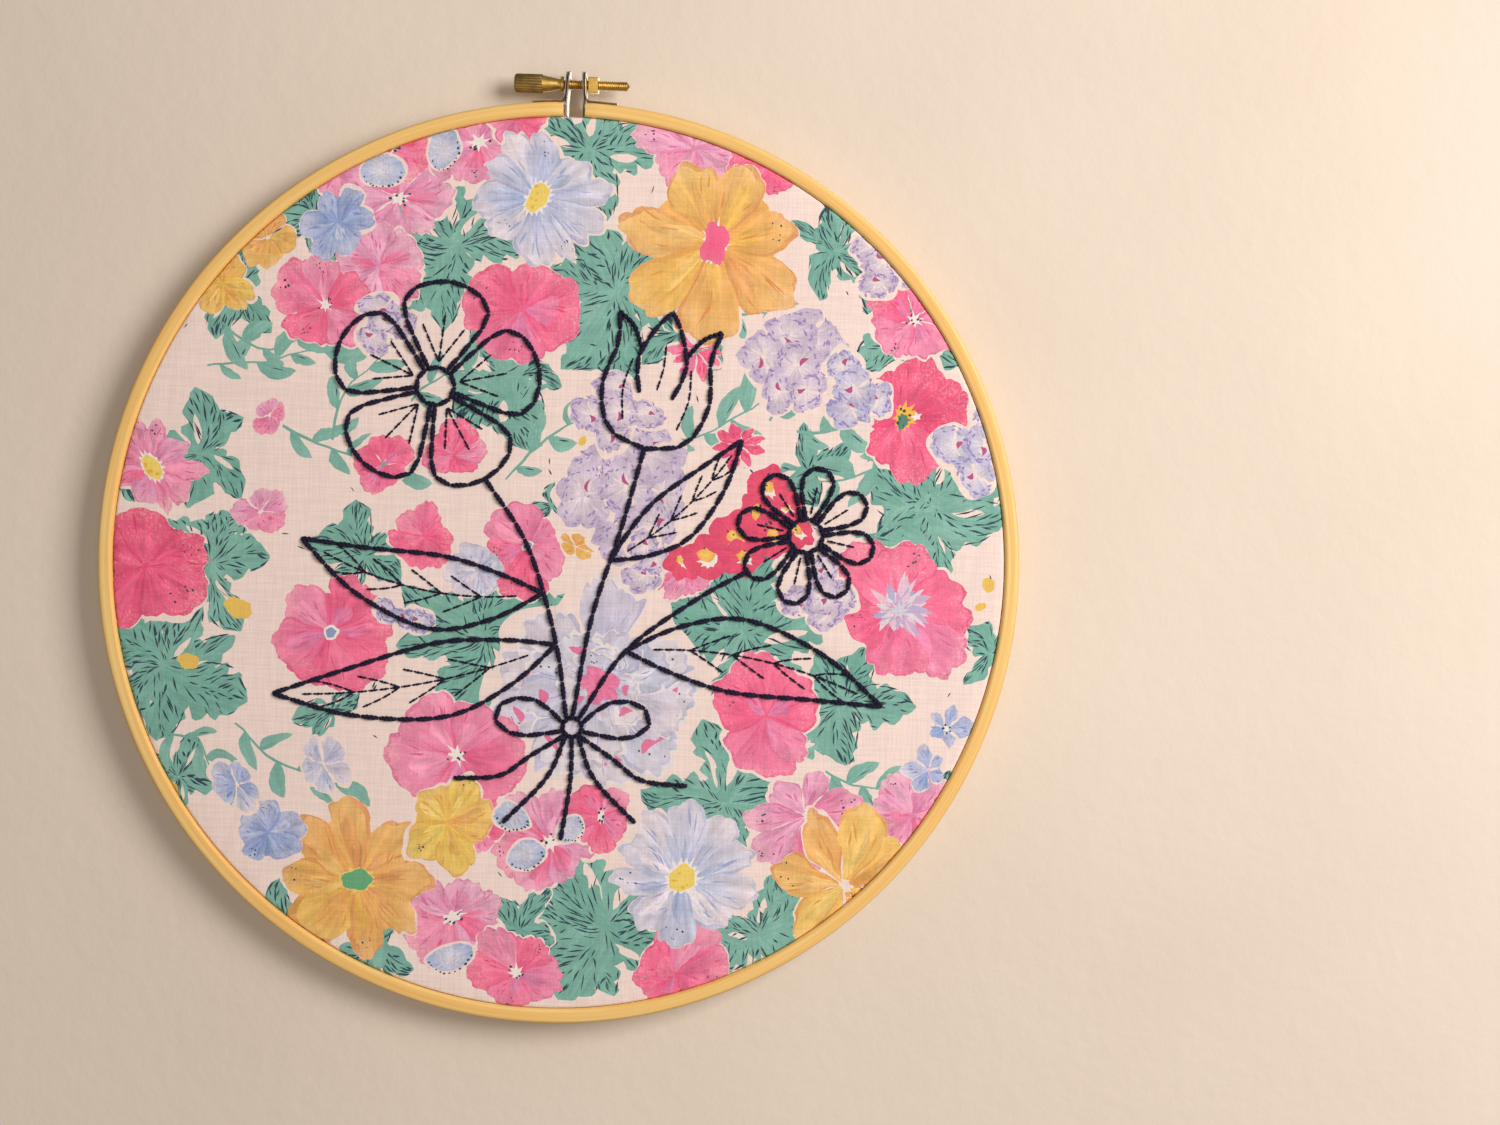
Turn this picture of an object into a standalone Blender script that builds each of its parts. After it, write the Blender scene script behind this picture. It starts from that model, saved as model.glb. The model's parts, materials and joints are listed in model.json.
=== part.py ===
"""A printed cloth stretched in a wooden screw hoop, with a bouquet stitched on it in outline.

Each piece is drawn in the hoop's own frame: x to the right, y up and z towards the viewer,
with the hoop's back at z = 0 and its centre at x = y = 0. The empty hoop_centre then stands
that frame upright, so that the hoop faces -Y and its back lies in the plane y = 0. The
world origin is the point where a wall nail bears, under the top of the inner ring.
"""

import math

import bmesh
import bpy
from mathutils import Matrix, Vector

MM = 0.001

# Hoop and cloth
OPENING_RADIUS = 114.4 * MM
RING_THICKNESS = 3.6 * MM
RING_DEPTH = 9.5 * MM
RING_ROUNDING = 0.8 * MM
CLOTH_THICKNESS = 1.0 * MM
CLOTH_RECESS = 0.6 * MM
CLOTH_TRIM = 1.0 * MM
CLOTH_ROUNDING = 0.5 * MM
CLEARANCE = 0.3 * MM
AROUND = 96

# Screw fitting over the split in the outer ring
EAR_GAP = 3.8 * MM
EAR_WIDTH = 7.0 * MM
EAR_THICKNESS = 1.1 * MM
EAR_SLOPE = math.tan(math.radians(3))
STRIP_THICKNESS = 0.6 * MM
STRIP_BEND = 1.4 * MM
FLANGE_REACH = 9.0 * MM
SCREW_HEIGHT = 5.2 * MM
EAR_HOLE_DIAMETER = 3.2 * MM
HEAD_START = -15.9 * MM
GRIP_END = -8.5 * MM
TAPER_END = -4.7 * MM
GRIP_DIAMETER = 4.8 * MM
GRIP_EDGE = 0.35 * MM
NECK_DIAMETER = 2.8 * MM
SHOULDER_DIAMETER = 4.1 * MM
SHOULDER_THICKNESS = 0.9 * MM
THREAD_DIAMETER = 2.5 * MM
THREAD_ROOT_DIAMETER = 2.1 * MM
THREAD_PITCH = 0.5 * MM
THREAD_END = 13.7 * MM
NUT_THICKNESS = 2.6 * MM
NUT_SIDE = 4.1 * MM
NUT_BORE_DIAMETER = 3.1 * MM
NUT_EDGE = 0.3 * MM
NUT_TURN = math.radians(10)
SCREW_SIDES = 16

# Stitched lines
LINE_WIDTH = 1.3 * MM
LINE_HEIGHT = 0.8 * MM
STITCH_LENGTH = 4.6 * MM
FEWEST_STITCHES = 9
LEVEL_STEP = 0.04 * MM
LEVELS = 4

# Worked out from the sizes above
OUTER_RADIUS = OPENING_RADIUS + RING_THICKNESS
CLOTH_RADIUS = OPENING_RADIUS - CLEARANCE
CLOTH_INSIDE = CLOTH_RADIUS - CLOTH_THICKNESS
CLOTH_FRONT = RING_DEPTH - CLOTH_RECESS
CLOTH_BACK = CLOTH_FRONT - CLOTH_THICKNESS
INNER_RING_OUTSIDE = CLOTH_INSIDE - CLEARANCE
INNER_RING_INSIDE = INNER_RING_OUTSIDE - RING_THICKNESS
INNER_RING_FRONT = CLOTH_BACK - CLEARANCE
SPLIT = EAR_GAP + 2 * (STRIP_THICKNESS + CLEARANCE)
STRIP_SEAT = OUTER_RADIUS + CLEARANCE
SCREW_AXIS = Vector((0, OUTER_RADIUS + SCREW_HEIGHT, RING_DEPTH / 2))
EAR_OUTSIDE = EAR_GAP / 2 + EAR_THICKNESS - EAR_SLOPE * (SCREW_HEIGHT - SHOULDER_DIAMETER / 2)
SHOULDER_FACE = -EAR_OUTSIDE - CLEARANCE
NUT_START = EAR_OUTSIDE + CLEARANCE
LINE_LEVEL = CLOTH_FRONT + CLEARANCE + LINE_HEIGHT / 2

# Colour, roughness and metallic value of each material
COLOURS = {
    "pale_wood": ((0.80, 0.50, 0.20), 0.55, 0.0),
    "printed_cotton": ((0.86, 0.70, 0.66), 0.90, 0.0),
    "navy_thread": ((0.02, 0.02, 0.07), 0.70, 0.0),
    "steel": ((0.60, 0.58, 0.53), 0.35, 1.0),
    "brass": ((0.72, 0.52, 0.20), 0.35, 1.0),
}

# The bouquet, in millimetres from the hoop's centre. Its stems are tied in a round knot.
KNOT = (5, -42)
KNOT_RADIUS = 2.6

# Stems: points from the knot to a flower or a cut end
STEMS = {
    "rose_stem": ((3.4, -39.8), (0, -20), (-8, 4), (-19.9, 21.3)),
    "tulip_stem": ((5, -39.4), (9, -14), (16, 10), (21.1, 30.3)),
    "daisy_stem": ((6.6, -39.8), (18, -22), (36, -8), (48.7, -0.5)),
    "left_foot": ((3.4, -44.2), (-1, -55), (-12, -67)),
    "middle_foot": ((5, -44.6), (5, -56), (3, -71)),
    "right_foot": ((6.6, -44.2), (11, -55), (22, -66)),
}

# Leaves: name, base, tip, half width, and how far the leaf bows to the left of its line
LEAVES = (
    ("high_leaf", (-3.6, -8), (-66, 4), 9.5, 6),
    ("low_leaf", (0.2, -21), (-72, -36), 9.5, 4),
    ("right_leaf", (18, -22), (84, -34), 9.5, 5),
    ("inner_leaf", (13.4, 1), (46, 33), 6.5, -3),
)

# Open flowers: name, centre, eye radius, reach, petal half width, petals, first petal's angle
FLOWERS = (
    ("rose", (-33, 44), 5.0, 27.0, 11.0, 5, -60.0),
    ("daisy", (63, 9), 4.5, 18.0, 4.2, 8, 213.7),
)

# Where a petal starts, as a share of the eye's radius
PETAL_ROOT = 0.88

# One side of an outline: share of its length, share of its half width
PETAL_SIDE = ((0.00, 0.22), (0.30, 0.62), (0.66, 1.00), (0.90, 0.72), (1.00, 0.00))
LEAF_SIDE = ((0.00, 0.00), (0.18, 0.62), (0.42, 1.00), (0.74, 0.62), (1.00, 0.00))

# Tulip: one side of each line, from its base, before it leans
TULIP_BASE = (21, 30)
TULIP_LEAN = math.radians(10)
TULIP_CUP = ((-1, -0.3), (10, 3), (14, 14), (12, 25), (13.5, 33))
TULIP_LIP = ((13.5, 33), (9, 30), (5.5, 24))
TULIP_MIDDLE = ((4.2, 13.5), (6.4, 22), (3.6, 30), (0, 35.5))

# Bow: its right loop and right end, from the knot
BOW_LOOP = ((2.4, 1), (9, 6.5), (17, 6.5), (20, 1.5), (14, -2.5), (2.4, -1))
BOW_END = ((1.6, -2), (11, -8), (18, -13), (30, -14))


# Scene and helpers


def clear_scene():
    """Removes whatever the file held before."""
    for old in list(bpy.data.objects):
        bpy.data.objects.remove(old)


def new_collection(name, parent):
    """A collection inside another one."""
    made = bpy.data.collections.new(name)
    parent.children.link(made)
    return made


def new_materials():
    """One Principled material for each entry of COLOURS."""
    made = {}
    for name, (colour, roughness, metallic) in COLOURS.items():
        material = bpy.data.materials.new(name)
        material.use_nodes = True
        shader = material.node_tree.nodes["Principled BSDF"]
        shader.inputs["Base Color"].default_value = (*colour, 1)
        shader.inputs["Roughness"].default_value = roughness
        shader.inputs["Metallic"].default_value = metallic
        made[name] = material
    return made


clear_scene()
PARTS = new_collection("hoop_embroidery", bpy.context.scene.collection)
CUTTERS = new_collection("cutters", bpy.context.scene.collection)
STITCHED_LINES = new_collection("stitched_lines", CUTTERS)
MATERIALS = new_materials()
HOOP = bpy.data.objects.new("hoop_centre", None)
HOOP.location = (0, 0, -INNER_RING_INSIDE)
HOOP.rotation_euler = (math.radians(90), 0, 0)
PARTS.objects.link(HOOP)


def place(obj, material):
    """Puts a piece in the part, in the hoop's frame."""
    PARTS.objects.link(obj)
    obj.parent = HOOP
    obj.data.materials.clear()
    obj.data.materials.append(MATERIALS[material])
    return obj


def place_helper(obj, collection=CUTTERS):
    """Keeps a cutter or a line that is joined to others out of the part."""
    collection.objects.link(obj)
    obj.parent = HOOP
    obj.hide_render = True
    obj.display_type = "WIRE"
    return obj


def as_mesh(obj):
    """The mesh object that a curve or a modified mesh makes, with its caps welded on."""
    bpy.context.scene.collection.objects.link(obj)
    bpy.context.view_layer.update()
    graph = bpy.context.evaluated_depsgraph_get()
    mesh = bpy.data.meshes.new_from_object(obj.evaluated_get(graph))
    shape = bmesh.new()
    shape.from_mesh(mesh)
    bmesh.ops.remove_doubles(shape, verts=shape.verts, dist=0.01 * MM)
    shape.to_mesh(mesh)
    shape.free()
    mesh.shade_smooth()
    mesh.set_sharp_from_angle(angle=math.radians(35))
    name, matrix = obj.name, obj.matrix_world.copy()
    bpy.data.objects.remove(obj)
    made = bpy.data.objects.new(name, mesh)
    made.matrix_world = matrix
    return made


def turned(name, profile, steps):
    """A profile of (radius, height) points, top to bottom, turned round z."""
    on_axis = profile[0][0] == 0
    mesh = bpy.data.meshes.new(f"{name}_profile")
    points = [(radius, 0, height) for radius, height in profile]
    edges = [(i, i + 1) for i in range(len(points) - 1)]
    if not on_axis:
        edges.append((len(points) - 1, 0))
    mesh.from_pydata(points, edges, [])
    obj = bpy.data.objects.new(name, mesh)
    screw = obj.modifiers.new("turn", "SCREW")
    screw.steps = screw.render_steps = steps
    screw.use_merge_vertices = on_axis
    screw.merge_threshold = 0.00001
    return as_mesh(obj)


def flat_shape(name, outline, thickness):
    """A flat outline of (x, y) points with a thickness along z."""
    curve = bpy.data.curves.new(name, "CURVE")
    curve.dimensions = "2D"
    curve.fill_mode = "BOTH"
    curve.extrude = thickness / 2
    spline = curve.splines.new("POLY")
    spline.points.add(len(outline) - 1)
    for point, (x, y) in zip(spline.points, outline):
        point.co = (x, y, 0, 1)
    spline.use_cyclic_u = True
    return as_mesh(bpy.data.objects.new(name, curve))


def bar(name, diameter, length, centre):
    """A plain round bar along x."""
    mesh = bpy.data.meshes.new(name)
    shape = bmesh.new()
    bmesh.ops.create_cone(
        shape,
        cap_ends=True,
        segments=SCREW_SIDES,
        radius1=diameter / 2,
        radius2=diameter / 2,
        depth=length,
    )
    shape.to_mesh(mesh)
    shape.free()
    obj = bpy.data.objects.new(name, mesh)
    obj.location = centre
    obj.rotation_euler = (0, math.radians(90), 0)
    return obj


def block(name, size, centre):
    """A plain box."""
    mesh = bpy.data.meshes.new(name)
    shape = bmesh.new()
    bmesh.ops.create_cube(shape, size=1)
    bmesh.ops.scale(shape, vec=size, verts=shape.verts)
    shape.to_mesh(mesh)
    shape.free()
    obj = bpy.data.objects.new(name, mesh)
    obj.location = centre
    return obj


def cut(obj, cutter, operation="DIFFERENCE"):
    """Cuts an object with a helper, or keeps only what lies inside it."""
    modifier = obj.modifiers.new(operation.lower(), "BOOLEAN")
    modifier.operation = operation
    modifier.object = cutter


# Rings and cloth


def corner_cut(rounding):
    """How far a rounded corner's middle lies inside the square corner, along each side."""
    return rounding * (1 - math.sqrt(0.5))


def rounded_section(inside, outside, back, front, rounding):
    """A ring's section as (radius, height) points, down its outer side first."""
    corners = (
        (outside, front, -1, -1),
        (outside, back, -1, 1),
        (inside, back, 1, 1),
        (inside, front, 1, -1),
    )
    section = []
    for index, (radius, height, inward, upward) in enumerate(corners):
        on_face = (radius + inward * rounding, height)
        on_side = (radius, height + upward * rounding)
        middle = (
            radius + inward * corner_cut(rounding),
            height + upward * corner_cut(rounding),
        )
        reaches_face_first = index % 2 == 0
        section += [on_face, middle, on_side] if reaches_face_first else [on_side, middle, on_face]
    return section


def make_outer_ring():
    """The bent-wood outer ring, split at the top for the screw fitting."""
    section = rounded_section(OPENING_RADIUS, OUTER_RADIUS, 0, RING_DEPTH, RING_ROUNDING)
    ring = place(turned("outer_ring", section, AROUND), "pale_wood")
    size = (SPLIT, 4 * RING_THICKNESS, 2 * RING_DEPTH)
    centre = (0, OPENING_RADIUS + RING_THICKNESS / 2, RING_DEPTH / 2)
    cut(ring, place_helper(block("ring_split", size, centre)))


def make_inner_ring():
    """The closed ring that the cloth is stretched over."""
    section = rounded_section(
        INNER_RING_INSIDE, INNER_RING_OUTSIDE, 0, INNER_RING_FRONT, RING_ROUNDING / 2
    )
    place(turned("inner_ring", section, AROUND), "pale_wood")


def make_cloth():
    """The cloth: flat across the front, turned back between the two rings and trimmed."""
    rim_cut = corner_cut(CLOTH_ROUNDING)
    profile = [
        (0, CLOTH_FRONT),
        (CLOTH_RADIUS - CLOTH_ROUNDING, CLOTH_FRONT),
        (CLOTH_RADIUS - rim_cut, CLOTH_FRONT - rim_cut),
        (CLOTH_RADIUS, CLOTH_FRONT - CLOTH_ROUNDING),
        (CLOTH_RADIUS, CLOTH_TRIM),
        (CLOTH_INSIDE, CLOTH_TRIM),
        (CLOTH_INSIDE, CLOTH_BACK),
        (0, CLOTH_BACK),
    ]
    place(turned("cloth", profile, AROUND), "printed_cotton")


# Screw fitting


def ring_arc(radius, start_x, end_x, count):
    """Points on a circle about the hoop's centre, near its top, from one x to another."""
    first, last = math.asin(start_x / radius), math.asin(end_x / radius)
    angles = [first + (last - first) * i / (count - 1) for i in range(count)]
    return [(radius * math.sin(a), radius * math.cos(a)) for a in angles]


def make_bracket(name, side):
    """A bent steel strip: a flange on the ring, an ear for the screw and a leg down the ring's end."""
    near = EAR_GAP / 2
    far = near + FLANGE_REACH
    foot = OPENING_RADIUS + CLEARANCE
    above = SCREW_AXIS.y + EAR_WIDTH
    leaned = near - EAR_SLOPE * (above - STRIP_SEAT)
    flange_top = STRIP_SEAT + STRIP_THICKNESS
    outline = [
        (near, foot),
        (near, STRIP_SEAT),
        (leaned, above),
        (leaned + EAR_THICKNESS, above),
        (near + EAR_THICKNESS, flange_top + STRIP_BEND),
        (near + EAR_THICKNESS + corner_cut(STRIP_BEND), flange_top + corner_cut(STRIP_BEND)),
        *ring_arc(flange_top, near + EAR_THICKNESS + STRIP_BEND, far, 4),
        *ring_arc(STRIP_SEAT, far, near + STRIP_THICKNESS, 5),
        (near + STRIP_THICKNESS, foot),
    ]
    mirrored = [(side * x, y) for x, y in outline]
    strip = place(flat_shape(name, mirrored, EAR_WIDTH), "steel")
    strip.location = (0, 0, SCREW_AXIS.z)
    cut(strip, ear_outline(name), "INTERSECT")
    hole = bar(f"{name}_hole", EAR_HOLE_DIAMETER, 2 * FLANGE_REACH, SCREW_AXIS)
    cut(strip, place_helper(hole))


def ear_outline(name):
    """The strip's outline seen from the side, round over the screw, as a long helper."""
    half = EAR_WIDTH / 2
    below = OPENING_RADIUS - SCREW_AXIS.y
    arc = [math.radians(15 * i) for i in range(13)]
    outline = [(half * math.cos(a), half * math.sin(a)) for a in arc]
    outline += [(-EAR_WIDTH, 0), (-EAR_WIDTH, below), (EAR_WIDTH, below), (EAR_WIDTH, 0)]
    helper = place_helper(flat_shape(f"{name}_outline", outline, 3 * FLANGE_REACH))
    helper.location = SCREW_AXIS
    helper.rotation_euler = (0, math.radians(90), 0)
    return helper


def thread(start, end):
    """The thread's roots and crests as (radius, height) points."""
    root, crest = THREAD_ROOT_DIAMETER / 2, THREAD_DIAMETER / 2
    points = []
    for turn in range(int((end - start) / THREAD_PITCH)):
        foot = start + turn * THREAD_PITCH
        points += [(root, foot), (crest, foot + THREAD_PITCH / 2)]
    return points


def make_clamp_screw():
    """The brass screw: a round grip that tapers to a neck, then a shoulder and a threaded rod."""
    grip, neck, shoulder = GRIP_DIAMETER / 2, NECK_DIAMETER / 2, SHOULDER_DIAMETER / 2
    root = THREAD_ROOT_DIAMETER / 2
    tip_start = THREAD_END - THREAD_PITCH
    profile = [
        (0, HEAD_START),
        (grip - GRIP_EDGE, HEAD_START),
        (grip, HEAD_START + GRIP_EDGE),
        (grip, GRIP_END),
        (neck, TAPER_END),
        (neck, SHOULDER_FACE - SHOULDER_THICKNESS),
        (shoulder, SHOULDER_FACE - SHOULDER_THICKNESS),
        (shoulder, SHOULDER_FACE),
        (root, SHOULDER_FACE),
        *thread(SHOULDER_FACE + THREAD_PITCH, tip_start),
        (root, tip_start),
        (0, THREAD_END),
    ]
    screw = place(turned("clamp_screw", profile[::-1], SCREW_SIDES), "brass")
    screw.location = SCREW_AXIS
    screw.rotation_euler = (0, math.radians(90), 0)


def make_nut():
    """The square nut behind the right ear."""
    middle = SCREW_AXIS + Vector((NUT_START + NUT_THICKNESS / 2, 0, 0))
    nut = place(block("nut", (NUT_THICKNESS, NUT_SIDE, NUT_SIDE), middle), "brass")
    nut.rotation_euler = (NUT_TURN, 0, 0)
    edge = nut.modifiers.new("edge", "BEVEL")
    edge.width = NUT_EDGE
    edge.segments = 1
    bore = bar("nut_bore", NUT_BORE_DIAMETER, 2 * NUT_THICKNESS, middle)
    cut(nut, place_helper(bore))


# Stitched bouquet, drawn in millimetres


def smooth(points, closed):
    """Points a stitch apart, in millimetres, on a smooth curve through the given ones."""
    points = [Vector(p) for p in points]
    if closed:
        held = [points[-1], *points, points[0], points[1]]
    else:
        held = [2 * points[0] - points[1], *points, 2 * points[-1] - points[-2]]
    fine = []
    for before, start, end, after in zip(held, held[1:], held[2:], held[3:]):
        for step in range(24):
            t = step / 24
            line = 2 * start + (end - before) * t
            bend = (2 * before - 5 * start + 4 * end - after) * t * t
            twist = (3 * start - before - 3 * end + after) * t * t * t
            fine.append((line + bend + twist) / 2)
    fine.append(held[-2])
    return evenly_spaced(fine, closed)


def evenly_spaced(fine, closed):
    """Picks points that part a finely drawn line into equal stitches."""
    pieces = [(b - a).length for a, b in zip(fine, fine[1:])]
    stitches = max(FEWEST_STITCHES, round(sum(pieces) * MM / STITCH_LENGTH))
    even, walked, index = [fine[0]], 0.0, 0
    for mark in range(1, stitches):
        target = sum(pieces) * mark / stitches
        while walked + pieces[index] < target:
            walked += pieces[index]
            index += 1
        even.append(fine[index].lerp(fine[index + 1], (target - walked) / pieces[index]))
    return even if closed else [*even, fine[-1]]


def along_line(base, tip, bow, half_width, shares):
    """Places an outline's shares along a bowed line from base to tip."""
    base, tip = Vector(base), Vector(tip)
    along = tip - base
    left = Vector((-along.y, along.x)).normalized()
    return [
        base + along * t + left * (4 * bow * t * (1 - t) + half_width * across)
        for t, across in shares
    ]


def leaf_lines(name, base, tip, half_width, bow):
    """A leaf's two edges."""
    lines = {}
    for edge, side in (("left", 1), ("right", -1)):
        shares = [(t, side * across) for t, across in LEAF_SIDE]
        lines[f"{name}_{edge}"] = along_line(base, tip, bow, half_width, shares)
    return lines


def flower_lines(name, centre, eye, reach, half_width, petals, first):
    """A round eye with a ring of petals."""
    middle = Vector(centre)
    lines = {f"{name}_eye": circle(centre, eye)}
    outline = [*PETAL_SIDE, *((t, -across) for t, across in PETAL_SIDE[-2::-1])]
    for petal in range(petals):
        angle = math.radians(first + 360 * petal / petals)
        way = Vector((math.cos(angle), math.sin(angle)))
        root = middle + PETAL_ROOT * eye * way
        tip = middle + reach * way
        lines[f"{name}_petal_{petal}"] = along_line(root, tip, 0, half_width, outline)
    return lines


def circle(centre, radius):
    """Eight points round a circle."""
    angles = [math.radians(45 * i) for i in range(8)]
    return [Vector(centre) + radius * Vector((math.cos(a), math.sin(a))) for a in angles]


def tulip_point(x, y):
    """A point of the upright tulip, leant over its base."""
    lean = Matrix.Rotation(-TULIP_LEAN, 2)
    return Vector(TULIP_BASE) + lean @ Vector((x, y))


def tulip_lines():
    """A tulip seen from the side."""
    lines = {}
    for edge, side in (("right", 1), ("left", -1)):
        lines[f"tulip_cup_{edge}"] = [tulip_point(side * x, y) for x, y in TULIP_CUP]
        lines[f"tulip_lip_{edge}"] = [tulip_point(side * x, y) for x, y in TULIP_LIP]
    there = [tulip_point(x, y) for x, y in TULIP_MIDDLE]
    back = [tulip_point(-x, y) for x, y in TULIP_MIDDLE[-2::-1]]
    lines["tulip_middle"] = there + back
    return lines


def bow_lines():
    """The bow that ties the stems."""
    lines = {"bow_knot": circle(KNOT, KNOT_RADIUS)}
    for edge, side in (("right", 1), ("left", -1)):
        for part, points in (("loop", BOW_LOOP), ("end", BOW_END)):
            lines[f"bow_{part}_{edge}"] = [Vector(KNOT) + Vector((side * x, y)) for x, y in points]
    return lines


def bouquet_lines():
    """Every line of the bouquet, by name."""
    lines = dict(STEMS)
    for leaf in LEAVES:
        lines.update(leaf_lines(*leaf))
    for flower in FLOWERS:
        lines.update(flower_lines(*flower))
    lines.update(tulip_lines())
    lines.update(bow_lines())
    return lines


def stitched_line(name, points, closed, level):
    """One line of stitches as a flattened tube on the cloth."""
    curve = bpy.data.curves.new(name, "CURVE")
    curve.dimensions = "3D"
    curve.bevel_depth = LINE_WIDTH / 2
    curve.bevel_resolution = 1
    curve.use_fill_caps = True
    path = smooth(points, closed)
    spline = curve.splines.new("POLY")
    spline.points.add(len(path) - 1)
    for point, spot in zip(spline.points, path):
        point.co = (spot.x * MM, spot.y * MM, 0, 1)
    spline.use_cyclic_u = closed
    tube = as_mesh(bpy.data.objects.new(name, curve))
    tube.data.transform(Matrix.Diagonal((1, 1, LINE_HEIGHT / LINE_WIDTH, 1)))
    tube.location.z = level
    return tube


def make_stitched_bouquet():
    """All the stitched lines, joined where they meet."""
    tubes = []
    for index, (name, points) in enumerate(bouquet_lines().items()):
        closed = name.endswith(("_eye", "_knot"))
        level = LINE_LEVEL + LEVEL_STEP * (index % LEVELS)
        tubes.append(stitched_line(name, points, closed, level))
    bouquet = place(tubes[0], "navy_thread")
    bouquet.name = "stitched_bouquet"
    for tube in tubes[1:]:
        place_helper(tube, STITCHED_LINES)
    join = bouquet.modifiers.new("join", "BOOLEAN")
    join.operation = "UNION"
    join.operand_type = "COLLECTION"
    join.collection = STITCHED_LINES


make_outer_ring()
make_inner_ring()
make_cloth()
make_bracket("left_bracket", -1)
make_bracket("right_bracket", 1)
make_clamp_screw()
make_nut()
make_stitched_bouquet()
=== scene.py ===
"""Looks of the hoop embroidery: printed cloth, stitched bouquet, wooden rings and brass screw.

Shapes are drawn in millimetres in the hoop's own frame: x to the right, y up from the hoop's
centre, z towards the viewer from the hoop's back. world() puts them in the frame's metres.
"""

import json
import math
import random
from dataclasses import dataclass

import bmesh
import bpy
import numpy as np
from mathutils import Matrix, Vector, noise
from mathutils.geometry import delaunay_2d_cdt
from mathutils.kdtree import KDTree

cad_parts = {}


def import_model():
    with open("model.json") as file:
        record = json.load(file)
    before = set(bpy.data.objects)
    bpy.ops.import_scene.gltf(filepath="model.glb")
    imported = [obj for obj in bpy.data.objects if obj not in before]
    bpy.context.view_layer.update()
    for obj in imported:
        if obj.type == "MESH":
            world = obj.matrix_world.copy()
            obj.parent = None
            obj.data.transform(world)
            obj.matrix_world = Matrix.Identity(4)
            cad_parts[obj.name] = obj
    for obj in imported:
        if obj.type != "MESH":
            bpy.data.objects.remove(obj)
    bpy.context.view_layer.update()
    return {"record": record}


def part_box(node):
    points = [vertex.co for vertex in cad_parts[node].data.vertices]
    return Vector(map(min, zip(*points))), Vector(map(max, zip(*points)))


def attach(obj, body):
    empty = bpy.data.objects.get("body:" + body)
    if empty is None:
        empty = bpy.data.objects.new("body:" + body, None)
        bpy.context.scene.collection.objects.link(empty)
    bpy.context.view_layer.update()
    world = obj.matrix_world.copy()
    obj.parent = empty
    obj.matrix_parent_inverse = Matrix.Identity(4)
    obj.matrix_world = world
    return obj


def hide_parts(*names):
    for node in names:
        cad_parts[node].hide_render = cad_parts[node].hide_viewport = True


# The offsets of noise_vector come from this seed, or else from the clock
noise.seed_set(7)

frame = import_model()
MM = 0.001

# Sizes read from the frame, in millimetres
RING_LOW, RING_HIGH = (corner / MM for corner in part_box("outer_ring"))
CLOTH_LOW, CLOTH_HIGH = (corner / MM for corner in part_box("cloth"))
SCREW_LOW, SCREW_HIGH = (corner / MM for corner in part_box("clamp_screw"))
NUT_LOW, NUT_HIGH = (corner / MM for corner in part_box("nut"))
OUTER_RADIUS = (RING_HIGH.x - RING_LOW.x) / 2
RING_DEPTH = RING_HIGH.y - RING_LOW.y
CENTRE_HEIGHT = RING_LOW.z + OUTER_RADIUS
INNER_RADIUS = -CENTRE_HEIGHT
CLOTH_RADIUS = CLOTH_HIGH.x
CLOTH_FRONT = -CLOTH_LOW.y
CLOTH_TRIM = -CLOTH_HIGH.y
SCREW_JOINT = Vector(frame["record"]["behaviour"]["joints"][0]["pos_m"]) / MM
SCREW_Y = SCREW_JOINT.z - CENTRE_HEIGHT
SCREW_Z = -SCREW_JOINT.y

# Camera, in millimetres and degrees: where the photograph's middle falls right of the hoop's centre
VIEW_ASIDE = 49.0
VIEW_DISTANCE = 533.0
VIEW_ROLL = math.radians(2.0)


def world(x, y, z):
    """A point of the hoop's frame in millimetres, as a point of the model in metres."""
    return Vector((x, -z, y + CENTRE_HEIGHT)) * MM


# Colours


def linear(red, green, blue):
    """A screen colour from 0 to 255 as scene-linear RGBA."""
    shares = [c / 255 for c in (red, green, blue)]
    return (*[s / 12.92 if s <= 0.04045 else ((s + 0.055) / 1.055) ** 2.4 for s in shares], 1.0)


def blend(a, b, share):
    """A colour between two others."""
    return tuple(x + (y - x) * share for x, y in zip(a, b))


GROUND = linear(251, 227, 218)
TEAL = linear(124, 178, 163)
PALE_TEAL = linear(150, 194, 180)
PEN = linear(54, 76, 86)
WHITE = linear(252, 240, 232)
CRIMSON = linear(204, 56, 98)
VIOLET = linear(158, 130, 188)

# Colours of the blooms at the middle and at the petals' ends
TONES = {
    "hot": (linear(248, 96, 141), linear(252, 127, 161)),
    "deep": (linear(234, 78, 121), linear(246, 104, 142)),
    "mauve": (linear(230, 132, 178), linear(242, 176, 204)),
    "ochre": (linear(238, 166, 88), linear(244, 196, 120)),
    "yellow": (linear(240, 186, 80), linear(246, 212, 112)),
    "blue": (linear(172, 188, 224), linear(238, 224, 230)),
    "lavender": (linear(204, 190, 216), linear(239, 223, 226)),
    "sky": (linear(168, 184, 221), linear(233, 222, 228)),
    "azure": (linear(132, 158, 212), linear(182, 192, 224)),
    "red": (linear(242, 94, 112), linear(232, 82, 120)),
}

# Tones that share a bloom
COUSINS = {
    "hot": "mauve", "deep": "hot", "mauve": "hot", "ochre": "yellow", "yellow": "ochre",
    "blue": "sky", "lavender": "sky", "sky": "lavender", "azure": "sky",
}


# Materials


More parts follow.
